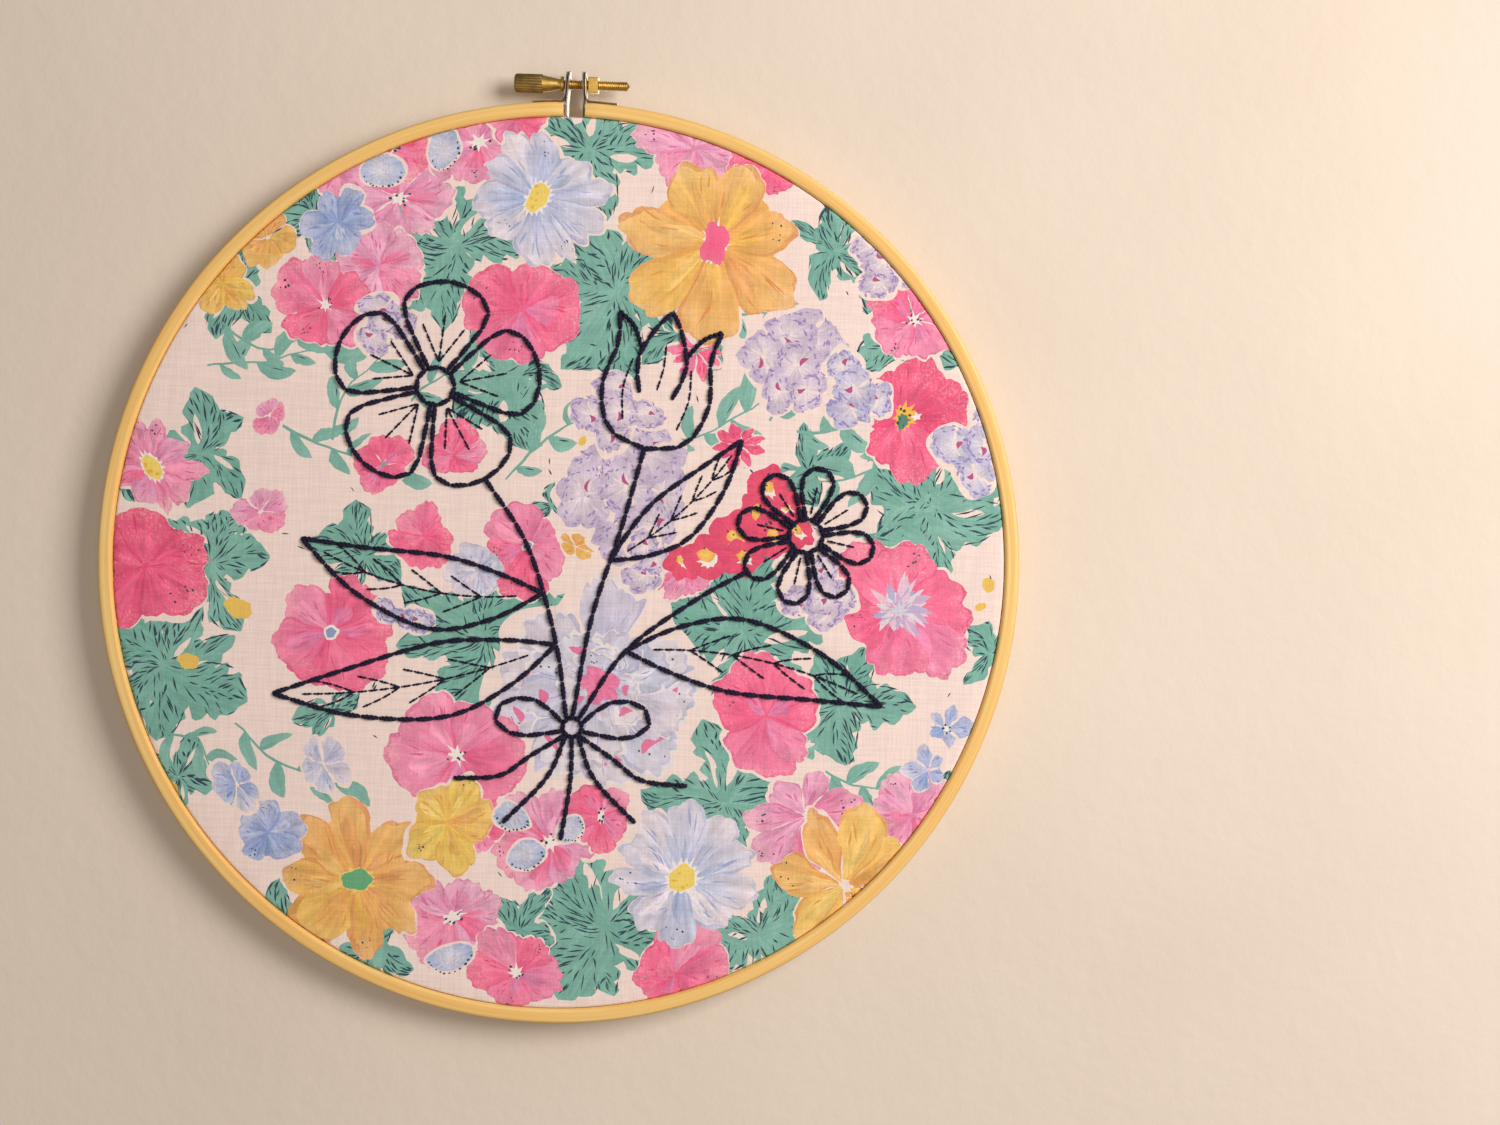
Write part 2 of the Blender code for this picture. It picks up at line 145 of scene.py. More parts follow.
class Shading:
    """A Principled material, with short calls that add nodes to it."""

    def __init__(self, name, **uniform):
        self.material = bpy.data.materials.new(name)
        self.material.use_nodes = True
        self.tree = self.material.node_tree
        self.shader = self.tree.nodes["Principled BSDF"]
        for socket, value in uniform.items():
            self.shader.inputs[socket.replace("_", " ")].default_value = value

    def node(self, kind, inputs=None, **settings):
        """A node of that kind. Its inputs are numbers, colours or other nodes' outputs."""
        made = self.tree.nodes.new(f"ShaderNode{kind}")
        for name, value in settings.items():
            setattr(made, name, value)
        for socket, value in (inputs or {}).items():
            self.put(made.inputs[socket], value)
        return made

    def set(self, name, value):
        """Sets or links an input of the shader."""
        self.put(self.shader.inputs[name], value)

    def put(self, socket, value):
        """Sets a socket, or links it."""
        if isinstance(value, bpy.types.NodeSocket):
            self.tree.links.new(value, socket)
        else:
            socket.default_value = value

    def attribute(self, name, output="Vector"):
        """A value stored on the mesh."""
        return self.node("Attribute", attribute_name=name).outputs[output]

    def place(self):
        """Where the surface is, in metres, moving with its piece."""
        return self.node("TexCoord").outputs["Object"]

    def noise(self, vector, scale, detail=3.0, roughness=0.5):
        """Cloudy noise from 0 to 1."""
        inputs = {"Vector": vector, "Scale": scale, "Detail": detail, "Roughness": roughness}
        return self.node("TexNoise", inputs).outputs["Fac"]

    def fit(self, value, low, high, to_low, to_high):
        """Maps a value from one range to another, and holds it there."""
        inputs = {0: value, 1: low, 2: high, 3: to_low, 4: to_high}
        return self.node("MapRange", inputs).outputs[0]

    def math(self, operation, a, b):
        """The result of one sum."""
        return self.node("Math", {0: a, 1: b}, operation=operation).outputs[0]

    def scaled(self, vector, scale):
        """A vector stretched along each axis."""
        inputs = {0: vector, 1: scale}
        return self.node("VectorMath", inputs, operation="MULTIPLY").outputs[0]

    def mix(self, share, a, b, how="MIX"):
        """One colour laid over another."""
        inputs = {0: share, 6: a, 7: b}
        return self.node("Mix", inputs, data_type="RGBA", blend_type=how).outputs[2]

    def grey(self, value):
        """A value as a grey colour."""
        return self.node("CombineColor", {0: value, 1: value, 2: value}).outputs[0]

    def bump(self, height, distance, strength):
        """Links a height to the shader's normal. distance is the depth in metres."""
        inputs = {"Height": height, "Distance": distance, "Strength": strength}
        self.set("Normal", self.node("Bump", inputs).outputs[0])


def cotton_material():
    """Plain-woven cotton whose print is stored on the mesh, mottled as pigment on cloth is."""
    s = Shading("printed_cotton", Roughness=0.9, Sheen_Weight=0.12, Specular_IOR_Level=0.25)
    place = s.place()
    colour = s.attribute("print", "Color")
    strength = s.attribute("strokes", "Fac")
    stroke = s.noise(s.attribute("stroke"), 1.0, 3.0, 0.6)
    washes = s.noise(place, 190.0, 3.0, 0.6)
    crayon = s.noise(place, 1700.0, 3.0, 0.7)
    tone = s.math("MULTIPLY", s.fit(stroke, 0.3, 0.7, 0.78, 1.26), s.fit(washes, 0.3, 0.7, 0.88, 1.14))
    tone = s.math("MULTIPLY", tone, s.fit(crayon, 0.3, 0.7, 0.88, 1.12))
    worked = s.mix(strength, colour, s.mix(1.0, colour, s.grey(tone), "MULTIPLY"))
    dry = s.math("ADD", s.math("SUBTRACT", 1.0, crayon), s.math("MULTIPLY", washes, 0.3))
    bare = s.fit(s.math("ADD", dry, s.attribute("grain", "Fac")), 1.08, 1.4, 0.0, 0.75)
    yarns = [s.noise(s.scaled(place, along), 2400.0, 2.0) for along in ((0.05, 1.0, 1.0), (1.0, 1.0, 0.05))]
    uneven = s.fit(s.math("ADD", *yarns), 0.75, 1.25, 0.93, 1.06)
    s.set("Base Color", s.mix(1.0, s.mix(bare, worked, GROUND), s.grey(uneven), "MULTIPLY"))
    waves = {"Vector": place, "Scale": 900.0, "Distortion": 0.6}
    warp, weft = (s.node("TexWave", waves, bands_direction=way).outputs["Fac"] for way in "XZ")
    s.bump(s.math("MAXIMUM", warp, weft), 0.00006, 0.5)
    return s.material


def thread_material():
    """Stranded navy cotton with fine fibres along each strand."""
    s = Shading("navy_thread", Roughness=0.66, Sheen_Weight=0.05, Specular_IOR_Level=0.25)
    fibres = s.noise(s.scaled(s.attribute("fibre"), (0.5, 3.0, 1.0)), 2.0, 2.0)
    shade = s.fit(fibres, 0.3, 0.7, 0.0, 1.0)
    s.set("Base Color", s.mix(shade, linear(14, 10, 34), linear(34, 26, 62)))
    s.bump(fibres, 0.00012, 0.6)
    return s.material


def wood_material(name, pale, dark):
    """Bent beech: long grain round the ring, short dark flecks and a satin finish."""
    s = Shading(name, Roughness=0.5, Coat_Weight=0.12, Coat_Roughness=0.35)
    grain = s.attribute("grain")
    bands = s.noise(s.scaled(grain, (0.012, 0.9, 0.9)), 1.0, 4.0, 0.6)
    fine = s.noise(s.scaled(grain, (0.05, 5.0, 5.0)), 1.0, 3.0, 0.7)
    tone = s.math("ADD", s.math("MULTIPLY", bands, 0.65), s.math("MULTIPLY", fine, 0.35))
    colour = s.mix(s.fit(tone, 0.36, 0.66, 0.0, 1.0), pale, dark)
    fleck = s.noise(s.scaled(grain, (0.45, 6.0, 6.0)), 1.0, 1.0)
    flecked = s.mix(s.fit(fleck, 0.70, 0.78, 0.0, 0.45), colour, blend(dark, linear(120, 70, 30), 0.5))
    s.set("Base Color", flecked)
    s.set("Roughness", s.fit(fine, 0.3, 0.7, 0.42, 0.6))
    s.bump(s.math("ADD", fine, fleck), 0.00006, 0.5)
    return s.material


def metal_material(name, bright, worn, roughness, depth):
    """Plain metal with tarnish in soft patches and fine scratches."""
    s = Shading(name, Metallic=1.0)
    place = s.place()
    patches = s.noise(place, 260.0, 4.0, 0.6)
    scratches = s.noise(s.scaled(place, (1.0, 6.0, 6.0)), 900.0, 2.0)
    share = s.fit(s.math("ADD", patches, s.math("MULTIPLY", scratches, 0.3)), 0.5, 0.8, 0.0, 1.0)
    s.set("Base Color", s.mix(share, bright, worn))
    s.set("Roughness", s.fit(scratches, 0.3, 0.7, roughness, roughness + 0.15))
    s.bump(scratches, depth, 0.4)
    return s.material


MATERIALS = {
    "cotton": cotton_material(),
    "thread": thread_material(),
    "outer_wood": wood_material("outer_wood", linear(255, 220, 142), linear(247, 181, 88)),
    "inner_wood": wood_material("inner_wood", linear(246, 212, 158), linear(226, 178, 112)),
    "steel": metal_material("plated_steel", linear(222, 212, 196), linear(184, 172, 152), 0.42, 0.00003),
    "brass": metal_material("aged_brass", linear(242, 200, 110), linear(204, 162, 86), 0.3, 0.00003),
    "dull_brass": metal_material("dull_brass", linear(196, 166, 98), linear(146, 116, 68), 0.42, 0.00005),
}


# Pieces


def linked(name, data):
    """A new object in the scene."""
    made = bpy.data.objects.new(name, data)
    bpy.context.scene.collection.objects.link(made)
    return made


def new_mesh(name, points, faces, material):
    """A mesh from points in metres and faces."""
    mesh = bpy.data.meshes.new(name)
    mesh.from_pydata(points, [], faces)
    mesh.materials.append(material)
    return mesh


def soften(mesh, angle):
    """Shades a mesh smooth, except over edges sharper than an angle in degrees."""
    mesh.shade_smooth()
    mesh.set_sharp_from_angle(angle=math.radians(angle))


def new_piece(name, points, faces, material, body, replaced, smooth):
    """A piece from its points in metres and its faces, riding on a body of the frame."""
    mesh = new_mesh(name, points, faces, MATERIALS[material])
    soften(mesh, smooth)
    piece = linked(name, mesh)
    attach(piece, body)
    if replaced:
        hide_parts(*replaced)
    return piece


def store(piece, name, kind, domain, values):
    """Stores one value for each point or face corner of a piece."""
    layer = piece.data.attributes.new(name, kind, domain)
    key = {"FLOAT": "value", "FLOAT_VECTOR": "vector", "FLOAT_COLOR": "color"}[kind]
    layer.data.foreach_set(key, np.asarray(values, dtype=np.float32).ravel())


def tube_faces(first, rings, sides):
    """The faces of a tube from ring to ring of points, closed at both ends."""
    faces = []
    for start in range(first, first + (rings - 1) * sides, sides):
        for side in range(sides):
            a, b = start + side, start + (side + 1) % sides
            faces.append((a, b, b + sides, a + sides))
    last = first + (rings - 1) * sides
    return [*faces, tuple(range(first, first + sides))[::-1], tuple(range(last, last + sides))]


# Printed cloth: patches of colour on the flat cloth, in millimetres

STEP = 0.95
HALO = 0.65
HALOS = (0.0, 0.1, 0.4, 0.8)
CLOTH_THICKNESS = 0.35
CLOTH_BEND = 0.8
FLAT_RADIUS = CLOTH_RADIUS - CLOTH_BEND
BEND_LENGTH = CLOTH_BEND * math.pi / 2
SKIRT_LENGTH = CLOTH_FRONT - CLOTH_BEND - CLOTH_TRIM
CUT_RADIUS = FLAT_RADIUS + BEND_LENGTH + SKIRT_LENGTH
FACE_GRID = 3.0
REVERSE_GRID = 2.6
RIM_SPOTS = 400
PULL_DEPTH = 0.16
PULL_REACH = 1.4
PUCKER_END = 107
PUCKER_FADE = 8

# Half width of a leaf: share of its length, share of its half width
LEAF = ((0.0, 0.14), (0.14, 0.7), (0.4, 1.0), (0.7, 0.84), (0.9, 0.46), (1.0, 0.03))

# Pen marks on a leaf: share of its half width, lean outward, chance
LEAF_MARKS = ((0.04, 0.06, 0.6), (0.18, 0.34, 0.8), (0.5, 0.3, 0.6), (0.86, 0.04, 0.5))

# Petals: half angle as a share of an even split, fall of the rim beside the tip, sharpness of
# that fall, waves along the rim, their depth, and the unevenness of the petals' reach
PETALS = {
    "poppy": (1.2, 0.22, 2.6, 4, 0.06, 0.17),
    "ruffled": (1.2, 0.2, 2.2, 5, 0.08, 0.2),
    "dahlia": (1.08, 0.34, 1.7, 3, 0.06, 0.12),
    "daisy": (1.12, 0.26, 2.0, 3, 0.06, 0.1),
    "aster": (1.0, 0.42, 1.1, 1, 0.0, 0.12),
    "floret": (1.05, 0.26, 2.2, 2, 0.05, 0.06),
}


@dataclass
class Patch:
    """One printed shape: its outline, its colours, the way its strokes run and its dry-brush grain."""

    outline: list
    inner: tuple
    outer: tuple
    centre: tuple
    reach: float
    along: float | None = None
    strokes: float = 0.3
    grain: float = 0.3
    fade: float = 0.0

    def away(self, spots):
        """Where spots lie from the centre, and how far along the patch's reach."""
        gone = spots - np.array(self.centre)
        return gone, np.clip(np.hypot(gone[:, 0], gone[:, 1]) / self.reach, 0, 1)

    def colours(self, spots):
        """The colour at each spot."""
        share = self.away(spots)[1][:, None]
        return np.array(self.inner) * (1 - share) + np.array(self.outer) * share

    def stroke_places(self, spots, seed):
        """Places for the stroke noise, stretched along the way the strokes run."""
        gone, share = self.away(spots)
        if self.along is None:
            angle = np.arctan2(gone[:, 1], gone[:, 0])
            return np.stack([5 * np.cos(angle), 5 * np.sin(angle), share + seed], axis=1)
        cos, sin = math.cos(self.along), math.sin(self.along)
        forward = gone[:, 0] * cos + gone[:, 1] * sin
        across = gone[:, 1] * cos - gone[:, 0] * sin
        return np.stack([0.12 * forward, 1.1 * across, np.full(len(spots), seed)], axis=1)


class Print:
    """The printed patches in the order that they are laid, later ones on top."""

    def __init__(self):
        self.patches = []
        self.random = random.Random(7)
        self.between = self.random.uniform
        self.pick = self.random.choice
        self.lean = None

    def placed(self, spot):
        """Where a spot of a motif comes to lie: foreshortened with its bloom, and drawn by an uneven hand."""
        x, y = spot
        if self.lean:
            centre_x, centre_y, cos, sin, squash = self.lean
            off_x, off_y = x - centre_x, y - centre_y
            along, across = off_x * cos + off_y * sin, (off_y * cos - off_x * sin) * squash
            x, y = centre_x + along * cos - across * sin, centre_y + along * sin + across * cos
        wide = noise.noise_vector((x / 13, y / 13, 0.5))
        small = noise.noise_vector((x / 4, y / 4, 4.5))
        return (x + 2.8 * wide.x + 0.5 * small.x, y + 2.8 * wide.y + 0.5 * small.y)

    def lay(self, outline, *colours, **manner):
        """Lays one patch."""
        self.patches.append(Patch([self.placed(spot) for spot in outline], *colours, **manner))

    def plain(self, outline, colour, grain=0.25):
        """Lays a patch of one colour."""
        self.lay(outline, colour, colour, outline[0], 10.0, strokes=0.0, grain=grain)

    def shaded(self, outline, inner, outer, centre, reach, **manner):
        """Lays a patch whose colour changes away from its centre."""
        self.lay(outline, inner, outer, self.placed(centre), reach, **manner)

    def face(self, centre, squash):
        """Foreshortens what is laid next, as a bloom that looks aside."""
        angle = self.random.uniform(0, math.pi)
        self.lean = (*centre, math.cos(angle), math.sin(angle), squash)

    def vary(self, amount):
        """A number around zero."""
        return self.random.uniform(-amount, amount)

    def chance(self, share):
        """True for a share of the calls."""
        return self.random.random() < share

    def frayed(self, outline, amount=0.22):
        """The outline with small teeth, as pigment leaves on cloth."""
        return [(x + self.vary(amount), y + self.vary(amount)) for x, y in outline]


def polar(centre, angle, distance):
    """The point at a distance and an angle from a centre."""
    return (centre[0] + distance * math.cos(angle), centre[1] + distance * math.sin(angle))


def around(centre, radius, shape, turn=0.0, squash=1.0):
    """A closed outline round a centre, where shape(angle) gives its share of the radius."""
    count = max(7, round(math.tau * radius / STEP))
    cos, sin = math.cos(turn), math.sin(turn)
    outline = []
    for index in range(count):
        angle = math.tau * index / count
        x = radius * shape(angle) * math.cos(angle)
        y = radius * shape(angle) * math.sin(angle) * squash
        outline.append((centre[0] + x * cos - y * sin, centre[1] + x * sin + y * cos))
    return outline


def scallops(lobes, depth):
    """Round lobes with sharp clefts between them."""
    return lambda angle: 1 - depth * (1 - abs(math.sin(lobes * angle / 2)))


def spikes(lobes, depth):
    """Sharp points with round hollows between them."""
    return lambda angle: 1 - depth * abs(math.sin(lobes * angle / 2)) ** 0.8


def spot_on(base, tip, half_width, bow, profile, t, side):
    """The point at a share t of a bowed blade's length and a share of its half width to the left."""
    along_x, along_y = tip[0] - base[0], tip[1] - base[1]
    length = math.hypot(along_x, along_y)
    left_x, left_y = -along_y / length, along_x / length
    half = half_width * np.interp(t, *zip(*profile))
    off = 4 * bow * t * (1 - t) + side * half
    return (base[0] + along_x * t + left_x * off, base[1] + along_y * t + left_y * off)


def blade(base, tip, half_width, bow=0.0, lobes=0, depth=0.0, shift=0.0):
    """The outline of a leaf, with round lobes that lean to its tip."""
    steps = max(4, round(math.dist(base, tip) / STEP))
    left, right = [], []
    for index in range(steps + 1):
        t = index / steps
        for points, side, late in ((left, 1, shift), (right, -1, shift + 0.5)):
            lobe = (lobes * t + late) % 1
            cut = depth * (1 - math.sin(math.pi * lobe**1.7) ** 0.6) if lobes and 0 < index < steps else 0
            points.append(spot_on(base, tip, half_width, bow, LEAF, t, side * (1 - cut)))
    return left + right[::-1]


def fan(centre, angle, reach, spread, style):
    """The outline of a petal that opens from a centre: a dome of a half angle, waved along its rim."""
    _, drop, power, waves, depth, _ = PETALS[style]
    rim = max(7, round(2 * spread * reach / STEP))
    outline = []
    for index in range(rim + 1):
        share = 2 * index / rim - 1
        wave = depth * (1 - abs(math.sin(math.pi * waves * (share + 1) / 2)))
        rough = 0.07 * noise.noise((2.5 * share, 3 * angle, reach))
        away = reach * (1 - drop * abs(share) ** power - wave + rough)
        outline.append(polar(centre, angle + spread * share, away))
    down = [(0.82, 0.93), (0.6, 0.86), (0.36, 0.8), (0.14, 0.76)]
    end = reach * (1 - drop - depth)
    falling = [polar(centre, angle + spread * narrow, end * share) for share, narrow in down]
    rising = [polar(centre, angle - spread * narrow, end * share) for share, narrow in down[::-1]]
    return outline + falling + rising


def print_stroke(sheet, start, end, width, colour, bow=0.0):
    """One pointed stroke of a pen or a fine brush."""
    if bow:
        sheet.plain(blade(start, end, width / 2, bow), colour)
        return
    along_x, along_y = end[0] - start[0], end[1] - start[1]
    half = width / 2 / max(math.hypot(along_x, along_y), 0.1)
    corners = ((0, 0), (0.3, half), (0.75, 0.6 * half), (1, 0), (0.5, -half))
    x, y = start
    sheet.plain([(x + along_x * t - along_y * a, y + along_y * t + along_x * a) for t, a in corners], colour)


def print_vine(sheet, start, end, width, colour, bow):
    """One long bowed stem of even width."""
    count = max(4, round(math.dist(start, end) / 2.5))
    even = ((0.0, 1.0), (1.0, 0.5))
    left = [spot_on(start, end, width / 2, bow, even, i / count, 1) for i in range(count + 1)]
    right = [spot_on(start, end, width / 2, bow, even, i / count, -1) for i in range(count + 1)]
    sheet.plain(left + right[::-1], colour, 0.36)


def print_leaves(sheet, leaves, tone=TEAL):
    """Leaves that share one pale halo. Each is (base, tip, half width, bow)."""
    for base, tip, half, bow in leaves:
        beyond = (tip[0] + (tip[0] - base[0]) * 0.05, tip[1] + (tip[1] - base[1]) * 0.05)
        sheet.plain(blade(base, beyond, half + sheet.pick(HALOS), bow), GROUND)
    for base, tip, half, bow in leaves:
        length = math.dist(base, tip)
        lobes = max(2, round(length / 4.6))
        outline = blade(base, tip, half, bow, lobes, 0.36, sheet.between(0, 1))
        along = math.atan2(tip[1] - base[1], tip[0] - base[0])
        own = blend(tone, PALE_TEAL, sheet.between(0, 0.5))
        sheet.shaded(
            sheet.frayed(outline, 0.2), own, blend(own, tone, 0.6), base, length,
            along=along, strokes=0.6, grain=0.33,
        )
        print_leaf_marks(sheet, base, tip, half, bow)


def print_leaf_marks(sheet, base, tip, half, bow):
    """Pen strokes along the midrib, the veins and one edge, and a bare slit on some leaves."""
    length = math.dist(base, tip)
    shaded = sheet.pick((-1, 1))
    if half > 3 and sheet.chance(0.5):
        start = spot_on(base, tip, half, bow, LEAF, 0.2, -0.35 * shaded)
        end = spot_on(base, tip, half, bow, LEAF, 0.62, -0.45 * shaded)
        sheet.plain(sheet.frayed(blade(start, end, 0.16 * half), 0.1), GROUND)
    rows = max(2, round(length / 2.1))
    for row in range(rows):
        for side in (shaded, -shaded):
            for out, lean, chance in LEAF_MARKS:
                if not sheet.chance(chance * (1 if side == shaded else 0.45)):
                    continue
                t = 0.06 + 0.84 * row / rows + sheet.vary(0.04)
                ahead = min(t + sheet.between(1.6, 4.2) / length, 0.97)
                across = out + sheet.vary(0.05)
                start = spot_on(base, tip, half, bow, LEAF, t, side * across)
                end = spot_on(base, tip, half, bow, LEAF, ahead, side * min(across + lean, 0.94))
                print_stroke(sheet, start, end, sheet.between(0.32, 0.58), PEN)


def print_leaf_cluster(sheet, x, y, size, turn, count):
    """Broad leaves that fan out from one point."""
    leaves = []
    for index in range(count):
        angle = math.radians(turn + 280 * (index / max(count - 1, 1) - 0.5)) + sheet.vary(0.3)
        reach = size * sheet.between(0.8, 1.2)
        half = reach * sheet.between(0.3, 0.42)
        leaves.append(((x, y), polar((x, y), angle, reach), half, sheet.vary(0.14) * reach))
    sheet.random.shuffle(leaves)
    print_leaves(sheet, leaves)
    for _ in range(4):
        angle = sheet.between(0, math.tau)
        start = polar((x, y), angle, size * sheet.between(1.15, 1.35))
        print_stroke(sheet, start, polar(start, angle + sheet.vary(0.8), 1.8), 0.4, PEN)


def print_sprig(sheet, x, y, length, turn, leaves, tone=TEAL):
    """A thin bowed stem with small leaves on both sides."""
    angle = math.radians(turn)
    start, end = (x, y), polar((x, y), angle, length)
    bow = sheet.vary(0.16) * length
    print_vine(sheet, start, end, 0.75, tone, bow)
    for index in range(leaves):
        t = 0.12 + 0.88 * index / max(leaves - 1, 1)
        foot = spot_on(start, end, 0.0, bow, LEAF, t, 0)
        side = 1 if index % 2 else -1
        way = angle + (side * math.radians(42) + sheet.vary(0.3) if index < leaves - 1 else 0)
        reach = sheet.between(6.5, 12.0)
        outline = sheet.frayed(blade(foot, polar(foot, way, reach), reach * 0.2, side * 0.1 * reach), 0.14)
        sheet.shaded(outline, tone, PALE_TEAL, foot, reach * 1.4, along=way, strokes=0.5, grain=0.34)
        if sheet.chance(0.5):
            print_stroke(sheet, polar(foot, way, 0.3 * reach), polar(foot, way, 0.7 * reach), 0.35, PEN)


def print_dots(sheet, centre, reach, count, colour, radius):
    """Small specks scattered round a point."""
    for _ in range(count):
        angle, away = sheet.between(0, math.tau), reach * sheet.between(0.3, 1.2)
        size = radius * sheet.between(0.6, 1.1)
        spot = polar(centre, angle, away)
        sheet.plain([polar(spot, angle + corner * 1.3, size) for corner in range(5)], colour)


def print_eye(sheet, centre, size, kind):
    """A bloom's middle."""
    turn = sheet.between(0, math.tau)
    if kind == "white":
        sheet.plain(around(centre, 0.24 * size, spikes(7, 0.6), turn, 0.8), WHITE)
        print_dots(sheet, centre, 0.17 * size, 6, PEN, 0.45)
    elif kind == "poppy":
        sheet.plain(around(centre, 0.34 * size, spikes(13, 0.45), turn), linear(250, 190, 80))
        off = polar(centre, turn, 0.08 * size)
        sheet.plain(around(off, 0.2 * size, spikes(9, 0.35), turn), linear(96, 140, 120))
        print_dots(sheet, off, 0.2 * size, 9, PEN, 0.5)
        sheet.plain(around(polar(centre, turn + 2, 0.24 * size), 0.1 * size, spikes(5, 0.5), turn), WHITE)
    elif kind == "yellow":
        sheet.plain(around(centre, 0.36 * size, spikes(17, 0.4), turn, 0.8), WHITE, 0.3)
        sheet.plain(around(centre, 0.23 * size, scallops(6, 0.12), turn, 0.75), linear(250, 218, 112))
        print_dots(sheet, centre, 0.14 * size, 7, linear(240, 186, 84), 0.5)
    elif kind == "pink":
        sheet.plain(around(centre, 0.32 * size, spikes(19, 0.35), turn, 0.7), WHITE)
        heart = sheet.frayed(around(centre, 0.28 * size, scallops(4, 0.25), turn, 0.7))
        sheet.shaded(heart, TONES["hot"][0], TONES["hot"][1], centre, 0.3 * size)
    elif kind == "green":
        sheet.plain(around(centre, 0.26 * size, spikes(15, 0.3), turn, 0.8), linear(246, 214, 120))
        sheet.plain(around(centre, 0.19 * size, scallops(5, 0.15), turn, 0.8), linear(110, 178, 130))
    elif kind == "throat":
        for streak in range(44):
            angle, reach = turn + streak * 2.4, size * sheet.between(0.18, 0.5)
            colour = blend(TONES["sky"][streak % 2], TONES["mauve"][1], sheet.between(0, 0.6))
            start = polar(centre, angle, 0.04 * size + reach * sheet.between(0, 0.3))
            print_stroke(sheet, start, polar(centre, angle, reach), sheet.between(1.2, 2.4), colour)
        deep, pale = TONES["sky"]
        sheet.plain(around(centre, 0.13 * size, spikes(9, 0.5), turn), blend(pale, deep, 0.3))
    elif kind == "blue":
        sheet.plain(around(centre, 0.13 * size, scallops(5, 0.15), turn), WHITE)
        sheet.plain(around(centre, 0.09 * size, scallops(5, 0.15), turn), linear(150, 165, 200))


def print_bloom(sheet, x, y, size, petals, turn, tone, style, eye):
    """An open flower that looks a little aside: a pale halo, uneven petals with folds, and an eye."""
    centre, first = (x, y), math.radians(turn)
    share, _, _, _, _, uneven = PETALS[style]
    spread = math.pi / petals * share
    sheet.face(centre, sheet.between(0.78, 1.0))
    shapes = []
    for index in range(petals):
        angle = first + math.tau * index / petals + sheet.vary(0.6 / petals)
        shapes.append((angle, size * (1 + sheet.vary(uneven)), spread * (1 + sheet.vary(0.14))))
    sheet.random.shuffle(shapes)
    for angle, reach, wide in shapes:
        halo = sheet.pick(HALOS)
        sheet.plain(fan(centre, angle, reach + halo, wide + halo / reach, style), GROUND)
    if size > 8 and sheet.chance(0.75):
        deep, pale = TONES[tone]
        core = sheet.frayed(around(centre, 0.68 * size, scallops(petals, 0.14), first))
        sheet.shaded(core, blend(deep, pale, 0.2), blend(deep, pale, 0.6), centre, size, strokes=0.8)
    for angle, reach, wide in shapes:
        print_petal(sheet, centre, angle, reach, wide, tone, style)
    print_eye(sheet, centre, size, eye)
    sheet.lean = None


def print_petal(sheet, centre, angle, reach, wide, tone, style):
    """One petal: a darker edge, a wash that may take a cousin's tone, a deeper fold and fine strokes."""
    deep, pale = TONES[tone]
    other = TONES[COUSINS[tone]]
    mixed = sheet.pick((0, 0, 0.25, 0.5))
    deep, pale = blend(deep, other[0], mixed), blend(pale, other[1], mixed)
    edge = blend(deep, VIOLET if tone in ("blue", "lavender", "sky", "azure") else CRIMSON, 0.2)
    soft = tone in ("blue", "sky", "azure", "lavender", "mauve")
    manner = {"strokes": 0.9 if soft else 0.7, "grain": 0.4 if soft else 0.34, "fade": 0.14}
    if reach > 8:
        outline = sheet.frayed(fan(centre, angle, reach, wide, style), 0.2)
        sheet.shaded(outline, edge, blend(edge, pale, 0.3), centre, reach, **manner)
    inner = blend(deep, pale, sheet.between(0, 0.5))
    outer = blend(pale, deep, sheet.between(0, 0.5))
    outline = sheet.frayed(fan(centre, angle + 0.03, reach * 0.97, wide * 0.95, style), 0.22)
    sheet.shaded(outline, inner, outer, centre, reach, **manner)
    if reach > 8:
        reached = reach * sheet.between(0.5, 0.85)
        way, narrow = angle + sheet.vary(0.4) * wide, wide * sheet.between(0.4, 0.7)
        wash = fan(centre, way, reached, narrow, "dahlia")
        tint = sheet.pick((edge, pale, other[0]))
        sheet.shaded(
            sheet.frayed(wash, 0.3), tint, blend(tint, outer, 0.7), centre, reached,
            strokes=1.0, grain=0.36, fade=0.06,
        )
    for _ in range(sheet.pick((2, 3, 4))):
        way, out = angle + sheet.vary(0.7) * wide, sheet.between(0.3, 0.62)
        start = polar(centre, way, reach * out)
        end = polar(centre, way + sheet.vary(0.08), reach * (out + sheet.between(0.15, 0.3)))
        print_stroke(sheet, start, end, sheet.between(0.3, 0.6), edge)
    if reach > 9 and sheet.chance(0.3):
        print_dots(sheet, polar(centre, angle, 0.75 * reach), 0.12 * reach, 5, PEN, 0.3)


def print_bud(sheet, x, y, size, turn):
    """A small pale bud with pen dots round its lower rim."""
    sheet.plain(around((x, y), size + HALO, scallops(3, 0.05), turn, 0.78), GROUND)
    outline = sheet.frayed(around((x, y), size, scallops(3, 0.06), turn, 0.75))
    sheet.shaded(outline, TONES["sky"][1], TONES["sky"][0], (x, y), size * 1.1, strokes=0.9, grain=0.42)
    for index in range(11):
        angle = turn + math.pi * (1.05 + 0.9 * index / 10)
        print_dots(sheet, polar((x, y), angle, 0.84 * size), 0.2, 1, PEN, 0.36)


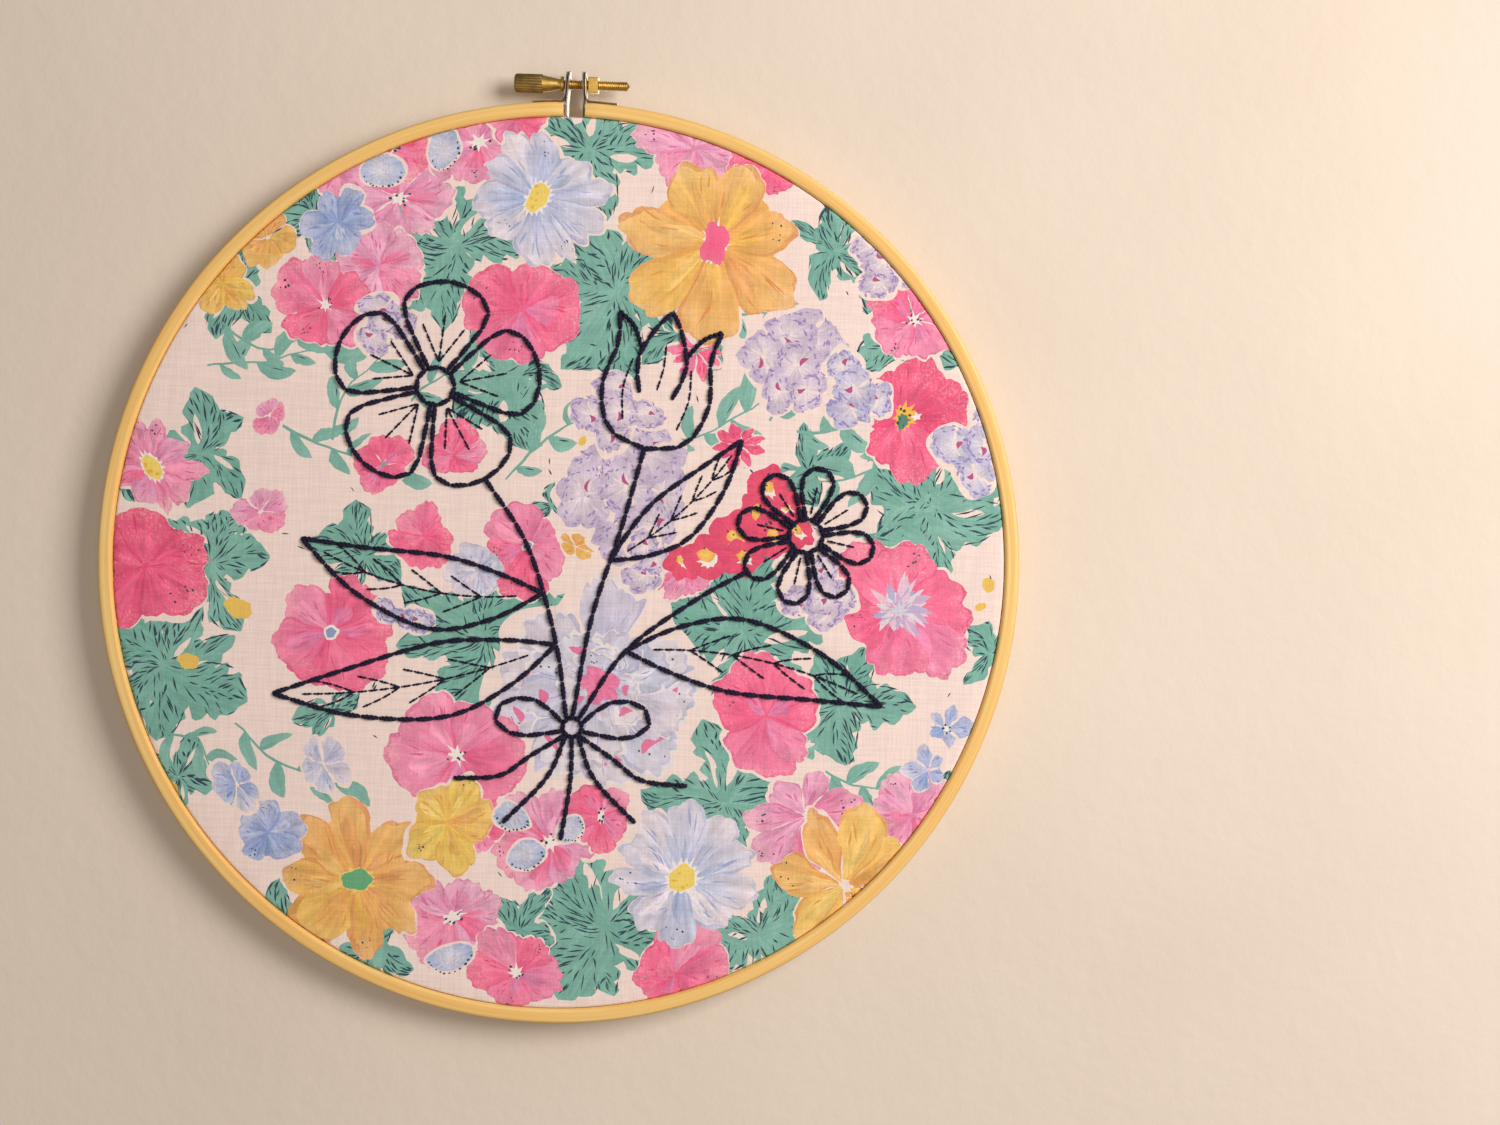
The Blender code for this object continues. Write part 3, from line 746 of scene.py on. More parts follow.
def print_floret(sheet, x, y, size, tone):
    """A small soft floret: grainy petals with violet rims and a crimson mark."""
    deep, pale = TONES[tone]
    turn = sheet.between(0, math.tau)
    rim = blend(deep, VIOLET, 0.4)
    for petal in range(5):
        angle = turn + math.tau * petal / 5 + sheet.vary(0.15)
        reach = size * sheet.between(0.85, 1.1)
        outline = sheet.frayed(fan((x, y), angle, reach, 0.68, "floret"), 0.25)
        sheet.shaded(outline, pale, rim, (x, y), reach * 1.15, strokes=0.9, grain=0.42, fade=0.08)
        for _ in range(7):
            way = angle + sheet.vary(0.7)
            start = polar((x, y), way, reach * sheet.between(0.62, 0.85))
            end = polar(start, way + math.pi / 2 + sheet.vary(0.7), 1.3)
            print_stroke(sheet, start, end, 0.5, blend(deep, VIOLET, 0.85))
    mark = polar((x, y), turn, 0.15 * size)
    end = polar(mark, turn + 1.2, 0.42 * size)
    print_stroke(sheet, mark, end, 1.2, blend(CRIMSON, VIOLET, 0.35), 0.12 * size)


def print_cluster(sheet, x, y, size, count, tone):
    """Florets crowded round a point, on one pale halo."""
    spots = []
    for index in range(count):
        angle = math.tau * index / max(count - 1, 1) + sheet.vary(0.35)
        away = 0.0 if index == count - 1 else size * sheet.between(0.52, 0.68)
        spots.append((*polar((x, y), angle, away), size * sheet.between(0.4, 0.54)))
    for spot_x, spot_y, reach in spots:
        sheet.plain(around((spot_x, spot_y), reach + HALO, scallops(5, 0.1)), GROUND)
    for spot_x, spot_y, reach in spots:
        print_floret(sheet, spot_x, spot_y, reach, tone)


def print_red_floret(sheet, x, y, size):
    """A red floret with a yellow middle that ends in a ragged white edge."""
    turn = sheet.between(0, math.tau)
    outline = sheet.frayed(around((x, y), size, scallops(6, 0.18), turn), 0.18)
    sheet.shaded(outline, *TONES["red"], (x, y), size, strokes=0.5)
    low = (x + 0.1 * size, y - 0.14 * size)
    sheet.plain(around(low, 0.4 * size, spikes(9, 0.45), turn), WHITE)
    middle = (x, y + 0.08 * size)
    ring = sheet.frayed(around(middle, 0.31 * size, scallops(5, 0.2), turn), 0.15)
    sheet.shaded(ring, linear(255, 218, 112), linear(244, 160, 88), middle, size * 0.4, strokes=0.6)
    print_dots(sheet, (x, y + 0.3 * size), 0.3 * size, 4, PEN, 0.42)


def print_peony(sheet, x, y, size, rings):
    """A large pale flower: rings of ruffled petals with white rims, rosy marks and a pink heart."""
    centre = (x, y)
    sheet.plain(around(centre, size * 1.03, scallops(9, 0.08)), GROUND)
    for ring in range(rings):
        share = 1 - ring / (rings + 0.6)
        petals = 6 + rings - ring
        spread = math.pi / petals * 1.15
        for index in range(petals):
            angle = math.tau * (index + 0.5 * (ring % 2)) / petals + sheet.vary(0.2)
            heart = polar(centre, sheet.between(0, math.tau), 0.08 * size)
            reach = size * share * sheet.between(0.86, 1.08)
            rim = sheet.frayed(fan(heart, angle, reach + 0.6, spread * 1.03, "ruffled"), 0.2)
            sheet.plain(rim, blend(WHITE, TONES["sky"][1], 0.5))
            print_petal(sheet, heart, angle, reach, spread, "sky", "ruffled")
            if sheet.chance(0.35):
                start = polar(heart, angle - 0.4 * spread, reach * 0.74)
                end = polar(heart, angle + 0.4 * spread, reach * 0.78)
                print_stroke(sheet, start, end, 2.4, blend(TONES["hot"][1], VIOLET, 0.2), 0.9)
    heart = sheet.frayed(around(centre, 0.2 * size, scallops(5, 0.3)), 0.3)
    sheet.shaded(heart, TONES["hot"][1], TONES["mauve"][0], centre, size * 0.25, strokes=0.8, grain=0.36)


def print_yellow_dot(sheet, x, y, radius):
    """A plain yellow dot."""
    outline = sheet.frayed(around((x, y), radius, scallops(5, 0.1)))
    sheet.plain(outline, blend(*TONES["yellow"], 0.5), 0.3)


# Layout of the print, in millimetres from the hoop's centre

# Peonies: x, y, size, rings of petals
PEONIES = ((11, -32, 27, 3),)

# Leaf clusters: x, y, size, the way they fan, leaves
LEAF_CLUSTERS = (
    (4, 106, 18, 220, 5), (-29, 80, 21, 140, 6), (12, 70, 21, 260, 6), (-13, 47, 16, 210, 5),
    (69, 82, 16, 20, 5), (-84, 66, 12.5, 190, 4), (-66, 86, 11.5, 150, 4),
    (-93, 26, 15, 40, 5), (-89, -3, 17, 350, 5), (-98, -30, 20, 300, 6), (-18, -20, 21, 120, 6),
    (-49, 0, 13.5, 90, 5), (48, -17, 22, 100, 6), (75, -34, 18, 280, 5), (96, 17, 18, 60, 6),
    (44, -59, 20, 20, 6), (15, -92, 22, 250, 7), (55, -93, 18, 300, 6),
    (-43, -101, 13.5, 280, 5), (111, -20, 10.5, 90, 4), (-2, 14, 7.5, 200, 3), (-57, -40, 10.5, 30, 3),
    (64, 27, 11.5, 60, 4), (-95, -58, 11.5, 120, 4), (-6, -94, 12.5, 110, 4), (86, 60, 13.5, 200, 5),
    (30, 60, 12.5, 250, 4), (100, -58, 8.5, 60, 3), (-114, 18, 8.5, 90, 3), (-64, -96, 11.5, 240, 4),
)

# Sprigs: x, y, length, direction, leaves
SPRIGS = (
    (-92, 46, 32, 10, 7), (-72, 32, 32, -20, 7), (-14, 22, 28, 30, 6), (22, 34, 30, 20, 7),
    (40, 66, 24, 340, 6), (-80, -44, 28, 330, 6), (76, 8, 24, 20, 6), (-100, -46, 20, 320, 5),
    (52, 40, 20, 30, 5), (-60, 30, 24, 60, 6), (84, 30, 18, 200, 5), (-6, 30, 20, 120, 5),
    (-36, -84, 16, 250, 4), (70, -52, 18, 350, 5), (-88, 58, 20, 350, 5), (60, 36, 22, 10, 6),
    (-40, 40, 22, 20, 5),
)

# Open flowers: x, y, size, petals, turn, tone, petal, eye
BLOOMS = (
    (-43, 92, 14.5, 6, 15, "mauve", "ruffled", "white"),
    (-24, 107, 13, 5, 40, "mauve", "ruffled", "white"),
    (-60, 98, 9, 5, 70, "mauve", "ruffled", "none"),
    (31, 108, 15.5, 6, 0, "mauve", "ruffled", "none"),
    (50, 104, 11, 5, 0, "hot", "ruffled", "none"),
    (-49, 75, 11, 5, 100, "mauve", "ruffled", "none"),
    (-62, 66, 13, 5, 20, "hot", "poppy", "white"),
    (-1, -71, 14.5, 6, 10, "mauve", "ruffled", "white"),
    (13, -65, 10, 5, 60, "hot", "ruffled", "white"),
    (-18, -68, 8, 5, 60, "hot", "poppy", "none"),
    (-24, -92, 14, 6, 20, "mauve", "ruffled", "white"),
    (-8, -104, 14, 5, 50, "hot", "ruffled", "white"),
    (64, -64, 15.5, 7, 20, "mauve", "dahlia", "none"),
    (93, -61, 13, 6, 0, "mauve", "ruffled", "none"),
    (-106, -4, 16.5, 5, 20, "deep", "poppy", "none"),
    (-57, -20, 16.5, 6, 10, "hot", "poppy", "blue"),
    (-25, -50, 16.5, 5, 50, "hot", "poppy", "white"),
    (-11, 65, 14.5, 4, 260, "hot", "poppy", "none"),
    (55, -37, 15.5, 5, 30, "hot", "poppy", "none"),
    (88, -9, 21, 6, 15, "hot", "poppy", "throat"),
    (88, 40, 15.5, 5, 75, "deep", "poppy", "poppy"),
    (90, 66, 13, 5, 10, "hot", "ruffled", "white"),
    (34, -104, 14.5, 4, 80, "hot", "poppy", "none"),
    (-34, 6, 10, 5, 0, "hot", "ruffled", "none"),
    (-9, 2, 12, 5, 40, "hot", "poppy", "blue"),
    (-22, -4, 8.5, 5, 20, "sky", "floret", "none"),
    (-46, 104, 8, 5, 0, "hot", "poppy", "white"),
    (-14, 112, 9, 5, 30, "hot", "poppy", "none"),
    (34, 54, 7, 9, 0, "hot", "aster", "none"),
    (45, 31, 7.5, 9, 20, "deep", "aster", "none"),
    (-104, 21, 13, 9, 0, "mauve", "dahlia", "yellow"),
    (-75, 34, 6, 5, 0, "mauve", "ruffled", "none"),
    (-76, 11, 8, 5, 30, "mauve", "ruffled", "none"),
    (32, -3, 10, 5, 20, "mauve", "ruffled", "none"),
    (-46, 24, 8, 5, 30, "hot", "poppy", "none"),
    (-28, 28, 9, 5, 10, "hot", "poppy", "none"),
    (37, 83, 24.5, 7, 12, "ochre", "dahlia", "pink"),
    (-49, -83, 23.5, 8, 5, "ochre", "dahlia", "green"),
    (77, -80, 22, 7, 20, "ochre", "dahlia", "none"),
    (-88, 68, 9, 6, 0, "yellow", "floret", "none"),
    (-78, 80, 8, 5, 0, "ochre", "floret", "none"),
    (-26, -67, 14, 5, 70, "yellow", "dahlia", "none"),
    (6, 4, 5.5, 5, 0, "ochre", "floret", "none"),
    (-8, 93, 19, 10, 8, "blue", "daisy", "yellow"),
    (35, -78, 19, 10, 15, "blue", "daisy", "yellow"),
    (-60, 85, 10.5, 6, 0, "azure", "floret", "none"),
    (-72, -71, 9.5, 5, 20, "azure", "floret", "none"),
    (-58, -54, 7.5, 5, 50, "sky", "floret", "none"),
    (-80, -60, 6, 5, 0, "azure", "floret", "none"),
    (101, -38, 7.5, 5, 0, "azure", "aster", "white"),
    (96, -50, 6, 5, 30, "azure", "aster", "none"),
)

# Buds: x, y, size, turn
BUDS = (
    (-48, 98, 5.0, 0.2), (-33, 106, 5.5, 0.6), (-10, -66, 4.5, 0.1), (-6, -75, 4.5, 0.5),
    (4, -68, 4.2, 0.9), (-24, -102, 5.0, 0.2),
)

# Clusters of soft florets: x, y, size, florets, tone
CLUSTERS = (
    (17, 19, 17.5, 8, "lavender"), (14, 38, 11, 5, "lavender"), (59, 53, 13, 7, "lavender"),
    (74, 47, 11, 4, "sky"), (107, 33, 11, 5, "sky"), (80, 79, 10, 4, "lavender"),
    (67, -6, 10, 5, "lavender"), (-40, -16, 7.5, 3, "sky"), (24, 2, 8.5, 4, "lavender"),
    (-47, 60, 8.5, 4, "lavender"),
)

# Red florets: x, y, size
RED_FLORETS = (
    (32, 1, 6.5), (38, 3, 7.0), (44, 8, 7.0), (46, 3, 5.6), (51, 13, 6.6), (58, 17, 6.0), (54, 21, 6.2),
    (54, 8, 6.0), (60, 11, 5.4),
)

# Yellow dots: x, y, radius
YELLOW_DOTS = (
    (-82, -14, 3.6), (-93, -27, 2.6), (110, -2, 1.8), (108, -7, 1.4), (-98, -62, 3.0), (4, 30, 1.0),
)


def print_layout():
    """Every motif, laid from the back to the front."""
    sheet = Print()
    edge = around((0, 0), CUT_RADIUS, lambda angle: 1 - 0.002 * (1 + math.sin(23 * angle)))
    sheet.patches.append(Patch(edge, GROUND, GROUND, (0, 0), 10.0, strokes=0.0, grain=0.25))
    layers = (
        (print_leaf_cluster, LEAF_CLUSTERS), (print_sprig, SPRIGS), (print_peony, PEONIES),
        (print_bloom, BLOOMS), (print_bud, BUDS), (print_cluster, CLUSTERS),
        (print_red_floret, RED_FLORETS), (print_yellow_dot, YELLOW_DOTS),
    )
    for draw, rows in layers:
        for row in rows:
            draw(sheet, *row)
    return sheet.patches


def inside(outline, spots):
    """Which spots lie in a closed outline."""
    hit = np.zeros(len(spots), dtype=bool)
    x, y = spots[:, 0], spots[:, 1]
    for (x1, y1), (x2, y2) in zip(outline, outline[1:] + outline[:1]):
        crosses = (y1 > y) != (y2 > y)
        if crosses.any():
            hit[crosses] ^= x[crosses] < (x2 - x1) * (y[crosses] - y1) / (y2 - y1) + x1
    return hit


def cut_along(points, sides, more):
    """Triangles of the plane that no side crosses, as (spots, faces)."""
    points = [Vector(spot) for spot in [*points, *more]]
    spots, _, faces, *_ = delaunay_2d_cdt(points, sides, [], 0, 0.0001, False)
    return np.array([tuple(s) for s in spots]), np.array(faces)


def shown_sides(patches):
    """The points and sides of the outlines, without what later patches hide and bare edges on bare cloth."""
    counts = [len(patch.outline) for patch in patches]
    corners = np.concatenate([np.array(patch.outline) for patch in patches])
    own = np.repeat(np.arange(len(patches)), counts)
    after = np.arange(1, len(corners) + 1)
    after[np.cumsum(counts) - 1] -= counts
    samples = np.stack([corners * (1 - t) + corners[after] * t for t in (0.02, 0.5, 0.98)], axis=1)
    tops, below = topmost(patches, samples.reshape(-1, 2), np.repeat(own, 3))
    bare = np.array([patch.inner == patch.outer == GROUND for patch in patches])
    tops, below = tops.reshape(-1, 3), below.reshape(-1, 3)
    seen = (tops >= 0) & (tops <= own[:, None]) & ~(bare[own][:, None] & bare[below] & (below >= 0))
    kept = np.flatnonzero(seen.any(axis=1) | (own == 0))
    used, sides = np.unique(np.stack([kept, after[kept]], axis=1), return_inverse=True)
    return corners[used].tolist(), sides.reshape(-1, 2).tolist()


def grid(step, radius):
    """Spots in rows inside a circle, every other row shifted by half a step."""
    rows = int(radius / step)
    count = range(-rows, rows + 1)
    spots = [((i + 0.5 * (j % 2)) * step, j * step) for j in count for i in count]
    return [spot for spot in spots if math.hypot(*spot) < radius - 0.5 * step]


def rim_spots():
    """Circles of spots where the cloth bends over the inner ring and down its side."""
    radii = [FLAT_RADIUS + BEND_LENGTH * share for share in (0, 0.25, 0.5, 0.75, 1)]
    radii += [FLAT_RADIUS + BEND_LENGTH + SKIRT_LENGTH * share for share in (0.3, 0.6, 0.85)]
    return [polar((0, 0), math.tau * i / RIM_SPOTS, radius) for radius in radii for i in range(RIM_SPOTS)]


def topmost(patches, spots, own=()):
    """The last patch that covers each spot, or -1 off the cloth, and the one under the spot's own patch."""
    top, below = np.full(len(spots), -1), np.full(len(spots), -1)
    order = np.argsort(spots[:, 0])
    xs = spots[order, 0]
    firsts = np.searchsorted(own, np.arange(len(patches) + 1))
    for index, patch in enumerate(patches):
        mine = slice(firsts[index], firsts[index + 1])
        below[mine] = top[mine]
        corners = np.array(patch.outline)
        low, high = corners.min(axis=0), corners.max(axis=0)
        near = order[np.searchsorted(xs, low[0]):np.searchsorted(xs, high[0])]
        near = near[(spots[near, 1] >= low[1]) & (spots[near, 1] <= high[1])]
        if index:
            near = near[top[near] >= 0]
        top[near[inside(patch.outline, spots[near])]] = index
    return top, below


def formed(x, y, depth, pucker):
    """Where a spot of the flat cloth lies on the hoop, at a depth below its printed face."""
    radius = math.hypot(x, y)
    over = radius - FLAT_RADIUS
    if over <= 0:
        return world(x, y, CLOTH_FRONT - depth + pucker)
    turn = min(over / CLOTH_BEND, math.pi / 2)
    out = FLAT_RADIUS + (CLOTH_BEND - depth) * math.sin(turn)
    up = CLOTH_FRONT - CLOTH_BEND + (CLOTH_BEND - depth) * math.cos(turn)
    up -= max(over - BEND_LENGTH, 0)
    return world(x / radius * out, y / radius * out, up)


def boundary(faces):
    """The points round the edge of the triangles, in order."""
    sides = np.concatenate([faces[:, [0, 1]], faces[:, [1, 2]], faces[:, [2, 0]]]).tolist()
    known = {(a, b) for a, b in sides}
    following = {a: b for a, b in known if (b, a) not in known}
    loop = [next(iter(following))]
    while following[loop[-1]] != loop[0]:
        loop.append(following[loop[-1]])
    return loop


def used_only(spots, faces):
    """The triangles with the spots that they use."""
    used, faces = np.unique(faces, return_inverse=True)
    return spots[used], faces.reshape(-1, 3)


def printed_face(patches):
    """The cloth's face cut along every outline that shows: spots, triangles and their patches."""
    spots, faces = cut_along(*shown_sides(patches), grid(FACE_GRID, FLAT_RADIUS - 0.5) + rim_spots())
    owner, _ = topmost(patches, spots[faces].mean(axis=1))
    spots, faces = used_only(spots, faces[owner >= 0])
    return spots, faces, owner[owner >= 0]


def spot_tree(spots):
    """A tree that finds the nearest of flat spots."""
    tree = KDTree(len(spots))
    for index, spot in enumerate(spots):
        tree.insert((*spot, 0), index)
    tree.balance()
    return tree


def plain_reverse(edge):
    """The cloth's reverse, which shares the face's edge: spots, triangles and the edge's spots in it."""
    outline = [tuple(spot) for spot in edge]
    sides = [(index, (index + 1) % len(outline)) for index in range(len(outline))]
    spots, faces = cut_along(outline, sides, grid(REVERSE_GRID, FLAT_RADIUS - 0.5) + rim_spots())
    spots, faces = used_only(spots, faces[inside(outline, spots[faces].mean(axis=1))])
    tree = spot_tree(spots)
    return spots, faces, [tree.find((*spot, 0))[1] for spot in edge]


def paint(patches, spots, owner):
    """Colour, stroke place, stroke strength and grain of spots that belong to known patches."""
    colour, stroke = np.zeros((len(spots), 4)), np.zeros((len(spots), 3))
    strength, grain = np.zeros(len(spots)), np.zeros(len(spots))
    order = np.argsort(owner, kind="stable")
    for group in np.split(order, np.flatnonzero(np.diff(owner[order])) + 1):
        index = owner[group[0]]
        patch = patches[index]
        colour[group] = patch.colours(spots[group])
        stroke[group] = patch.stroke_places(spots[group], 3.7 * index)
        strength[group] = patch.strokes
        grain[group] = patch.grain + patch.fade * patch.away(spots[group])[1] ** 2
    return colour, stroke, strength, grain


def pucker_map(stitches):
    """A function of a spot: how far the stitches pull the cloth in there, and its slight unevenness."""
    tree = spot_tree(stitches)

    def pucker(x, y):
        near = tree.find((x, y, 0))[2]
        fade = min(max((PUCKER_END - math.hypot(x, y)) / PUCKER_FADE, 0), 1)
        pulled = -PULL_DEPTH * math.exp(-((near / PULL_REACH) ** 2))
        uneven = 0.07 * noise.noise((x / 16, y / 16, 0.3)) + 0.03 * noise.noise((x / 5, y / 5, 1.7))
        return fade * (pulled + uneven)

    return pucker


def make_cloth(stitches):
    """The printed cloth as one closed sheet: a finely cut face, a plainer reverse and a thin edge."""
    patches = print_layout()
    spots, faces, owner = printed_face(patches)
    loop = boundary(faces)
    back_spots, back_faces, back_loop = plain_reverse(spots[loop])
    pucker = pucker_map(stitches)
    points = [formed(x, y, 0, pucker(x, y)) for x, y in spots]
    points += [formed(x, y, CLOTH_THICKNESS, pucker(x, y)) for x, y in back_spots]
    back_faces = back_faces[:, ::-1] + len(spots)
    back_loop = [index + len(spots) for index in back_loop]
    ahead, back_ahead = loop[1:] + loop[:1], back_loop[1:] + back_loop[:1]
    turned = list(zip(ahead, loop, back_loop, back_ahead))
    cloth = new_piece(
        "printed_cloth", points, [*faces.tolist(), *back_faces.tolist(), *turned],
        "cotton", "hoop", ["cloth"], smooth=60.0,
    )
    places = np.concatenate([spots[faces].reshape(-1, 2), back_spots[back_faces - len(spots)].reshape(-1, 2)])
    owners = np.repeat(owner, 3)
    back_owner = np.maximum(topmost(patches, back_spots * 0.999)[0], 0)
    owners = np.concatenate([owners, back_owner[back_faces - len(spots)].ravel()])
    colour, stroke, strength, grain = paint(patches, places, owners)
    on_back = len(faces) * 3
    colour[on_back:] = 0.3 * colour[on_back:] + 0.7 * np.array(GROUND)
    strength[on_back:] = 0
    rest = 4 * len(turned)
    pad = ((0, rest), (0, 0))
    colour = np.concatenate([colour, np.tile(GROUND, (rest, 1))])
    store(cloth, "print", "FLOAT_COLOR", "CORNER", colour)
    store(cloth, "stroke", "FLOAT_VECTOR", "CORNER", np.pad(stroke, pad))
    store(cloth, "strokes", "FLOAT", "CORNER", np.pad(strength, pad[0]))
    store(cloth, "grain", "FLOAT", "CORNER", np.pad(grain, pad[0]))
    return cloth


# Stitched bouquet, in millimetres from the hoop's centre, as in the model's source

STITCH_LENGTH = 4.6
FEWEST_STITCHES = 9
FINE_STITCH = 2.8
KNOT = (5, -42)
KNOT_RADIUS = 2.6

STEMS = (
    ((3.4, -39.8), (0, -20), (-8, 4), (-19.9, 21.3)),
    ((5, -39.4), (9, -14), (16, 10), (21.1, 30.3)),
    ((6.6, -39.8), (18, -22), (36, -8), (48.7, -0.5)),
    ((3.4, -44.2), (-1, -55), (-12, -67)),
    ((5, -44.6), (5, -56), (3, -71)),
    ((6.6, -44.2), (11, -55), (22, -66)),
)

# Leaves: base, tip, half width, and how far the leaf bows to the left of its line
LEAVES = (
    ((-3.6, -8), (-66, 4), 9.5, 6),
    ((0.2, -21), (-72, -36), 9.5, 4),
    ((18, -22), (84, -34), 9.5, 5),
    ((13.4, 1), (46, 33), 6.5, -3),
)

# Open flowers: centre, eye radius, reach, petal half width, petals, first petal's angle, and the
# creases on a petal as angles from its middle in radians
FLOWERS = (
    ((-33, 44), 5.0, 27.0, 11.0, 5, -60.0, (-0.34, 0, 0.34)),
    ((63, 9), 4.5, 18.0, 4.2, 8, 213.7, (0,)),
)
PETAL_ROOT = 0.88

# One side of a stitched outline: share of its length, share of its half width
PETAL_SIDE = ((0.00, 0.22), (0.30, 0.62), (0.66, 1.00), (0.90, 0.72), (1.00, 0.00))
LEAF_SIDE = ((0.00, 0.00), (0.18, 0.62), (0.42, 1.00), (0.74, 0.62), (1.00, 0.00))

TULIP_BASE = (21, 30)
TULIP_LEAN = math.radians(10)
TULIP_CUP = ((-1, -0.3), (10, 3), (14, 14), (12, 25), (13.5, 33))
TULIP_LIP = ((13.5, 33), (9, 30), (5.5, 24))
TULIP_MIDDLE = ((4.2, 13.5), (6.4, 22), (3.6, 30), (0, 35.5))
TULIP_FOLDS = (
    ((-7, 6), (-8.6, 14), (-7.6, 22)),
    ((7, 6), (8.6, 14), (7.6, 22)),
    ((0, 15), (0.6, 21), (0, 27)),
)
BOW_LOOP = ((2.4, 1), (9, 6.5), (17, 6.5), (20, 1.5), (14, -2.5), (2.4, -1))
BOW_END = ((1.6, -2), (11, -8), (18, -13), (30, -14))


def smooth(points, closed, length, fewest):
    """Points a stitch apart on a smooth curve through the given ones."""
    points = [Vector(p) for p in points]
    if closed:
        held = [points[-1], *points, points[0], points[1]]
    else:
        held = [2 * points[0] - points[1], *points, 2 * points[-1] - points[-2]]
    fine = []
    for before, start, end, after in zip(held, held[1:], held[2:], held[3:]):
        for step in range(24):
            t = step / 24
            line = 2 * start + (end - before) * t
            bend = (2 * before - 5 * start + 4 * end - after) * t * t
            twist = (3 * start - before - 3 * end + after) * t * t * t
            fine.append((line + bend + twist) / 2)
    fine.append(held[-2])
    pieces = [(b - a).length for a, b in zip(fine, fine[1:])]
    stitches = max(fewest, round(sum(pieces) / length))
    even, walked, index = [fine[0]], 0.0, 0
    for mark in range(1, stitches):
        target = sum(pieces) * mark / stitches
        while walked + pieces[index] < target:
            walked += pieces[index]
            index += 1
        even.append(fine[index].lerp(fine[index + 1], (target - walked) / pieces[index]))
    return [*even, fine[-1]]


def along_line(base, tip, bow, half_width, shares):
    """Places an outline's shares along a bowed line from base to tip."""
    base, tip = Vector(base), Vector(tip)
    along = tip - base
    left = Vector((-along.y, along.x)).normalized()
    return [base + along * t + left * (4 * bow * t * (1 - t) + half_width * a) for t, a in shares]


def tulip_point(x, y):
    """A point of the upright tulip, leant over its base."""
    return Vector(TULIP_BASE) + Matrix.Rotation(-TULIP_LEAN, 2) @ Vector((x, y))


def bouquet_lines():
    """The heavy lines of the bouquet, as (points, closed)."""
    lines = [(points, False) for points in STEMS]
    for base, tip, half_width, bow in LEAVES:
        for side in (1, -1):
            shares = [(t, side * across) for t, across in LEAF_SIDE]
            lines.append((along_line(base, tip, bow, half_width, shares), False))
    outline = [*PETAL_SIDE, *((t, -across) for t, across in PETAL_SIDE[-2::-1])]
    for centre, eye, reach, half_width, petals, first, _ in FLOWERS:
        lines.append(([polar(centre, math.radians(45 * i), eye) for i in range(8)], True))
        for petal in range(petals):
            angle = math.radians(first + 360 * petal / petals)
            root, tip = polar(centre, angle, PETAL_ROOT * eye), polar(centre, angle, reach)
            lines.append((along_line(root, tip, 0, half_width, outline), False))
    for side in (1, -1):
        for points in (TULIP_CUP, TULIP_LIP):
            lines.append(([tulip_point(side * x, y) for x, y in points], False))
        for points in (BOW_LOOP, BOW_END):
            lines.append(([Vector(KNOT) + Vector((side * x, y)) for x, y in points], False))
    middle = [*TULIP_MIDDLE, *((-x, y) for x, y in TULIP_MIDDLE[-2::-1])]
    lines.append(([tulip_point(x, y) for x, y in middle], False))
    lines.append(([polar(KNOT, math.radians(45 * i), KNOT_RADIUS) for i in range(8)], True))
    return lines


def detail_lines():
    """The fine lines: leaf ribs, petal creases and the tulip's folds."""
    lines = []
    for base, tip, half_width, bow in LEAVES:
        lines.append(along_line(base, tip, bow, 0, [(t / 10, 0) for t in range(1, 10)]))
        for rib in (0.24, 0.4, 0.56, 0.72):
            for side in (1, -1):
                shares = [(rib, 0), (rib + 0.06, 0.22 * side), (rib + 0.14, 0.52 * side * (1.1 - rib * 0.5))]
                lines.append(along_line(base, tip, bow, half_width, shares))
    for centre, eye, reach, _, petals, first, creases in FLOWERS:
        for petal in range(petals):
            angle = math.radians(first + 360 * petal / petals)
            root = polar(centre, angle, eye * 1.25)
            for side in creases:
                tip = polar(centre, angle + side, eye + (reach - eye) * (0.62 - 0.3 * abs(side)))
                lines.append([Vector(root), Vector(tip)])
    return lines + [[tulip_point(x, y) for x, y in fold] for fold in TULIP_FOLDS]


@dataclass
class Yarn:
    """Twisted thread: its plies, their radius and their distance from the middle, and its twist."""

    plies: int
    radius: float
    offset: float
    pitch: float
    steps: int
    sides: int


HEAVY = Yarn(plies=3, radius=0.38, offset=0.35, pitch=3.4, steps=9, sides=6)
FINE = Yarn(plies=2, radius=0.2, offset=0.16, pitch=2.0, steps=6, sides=5)


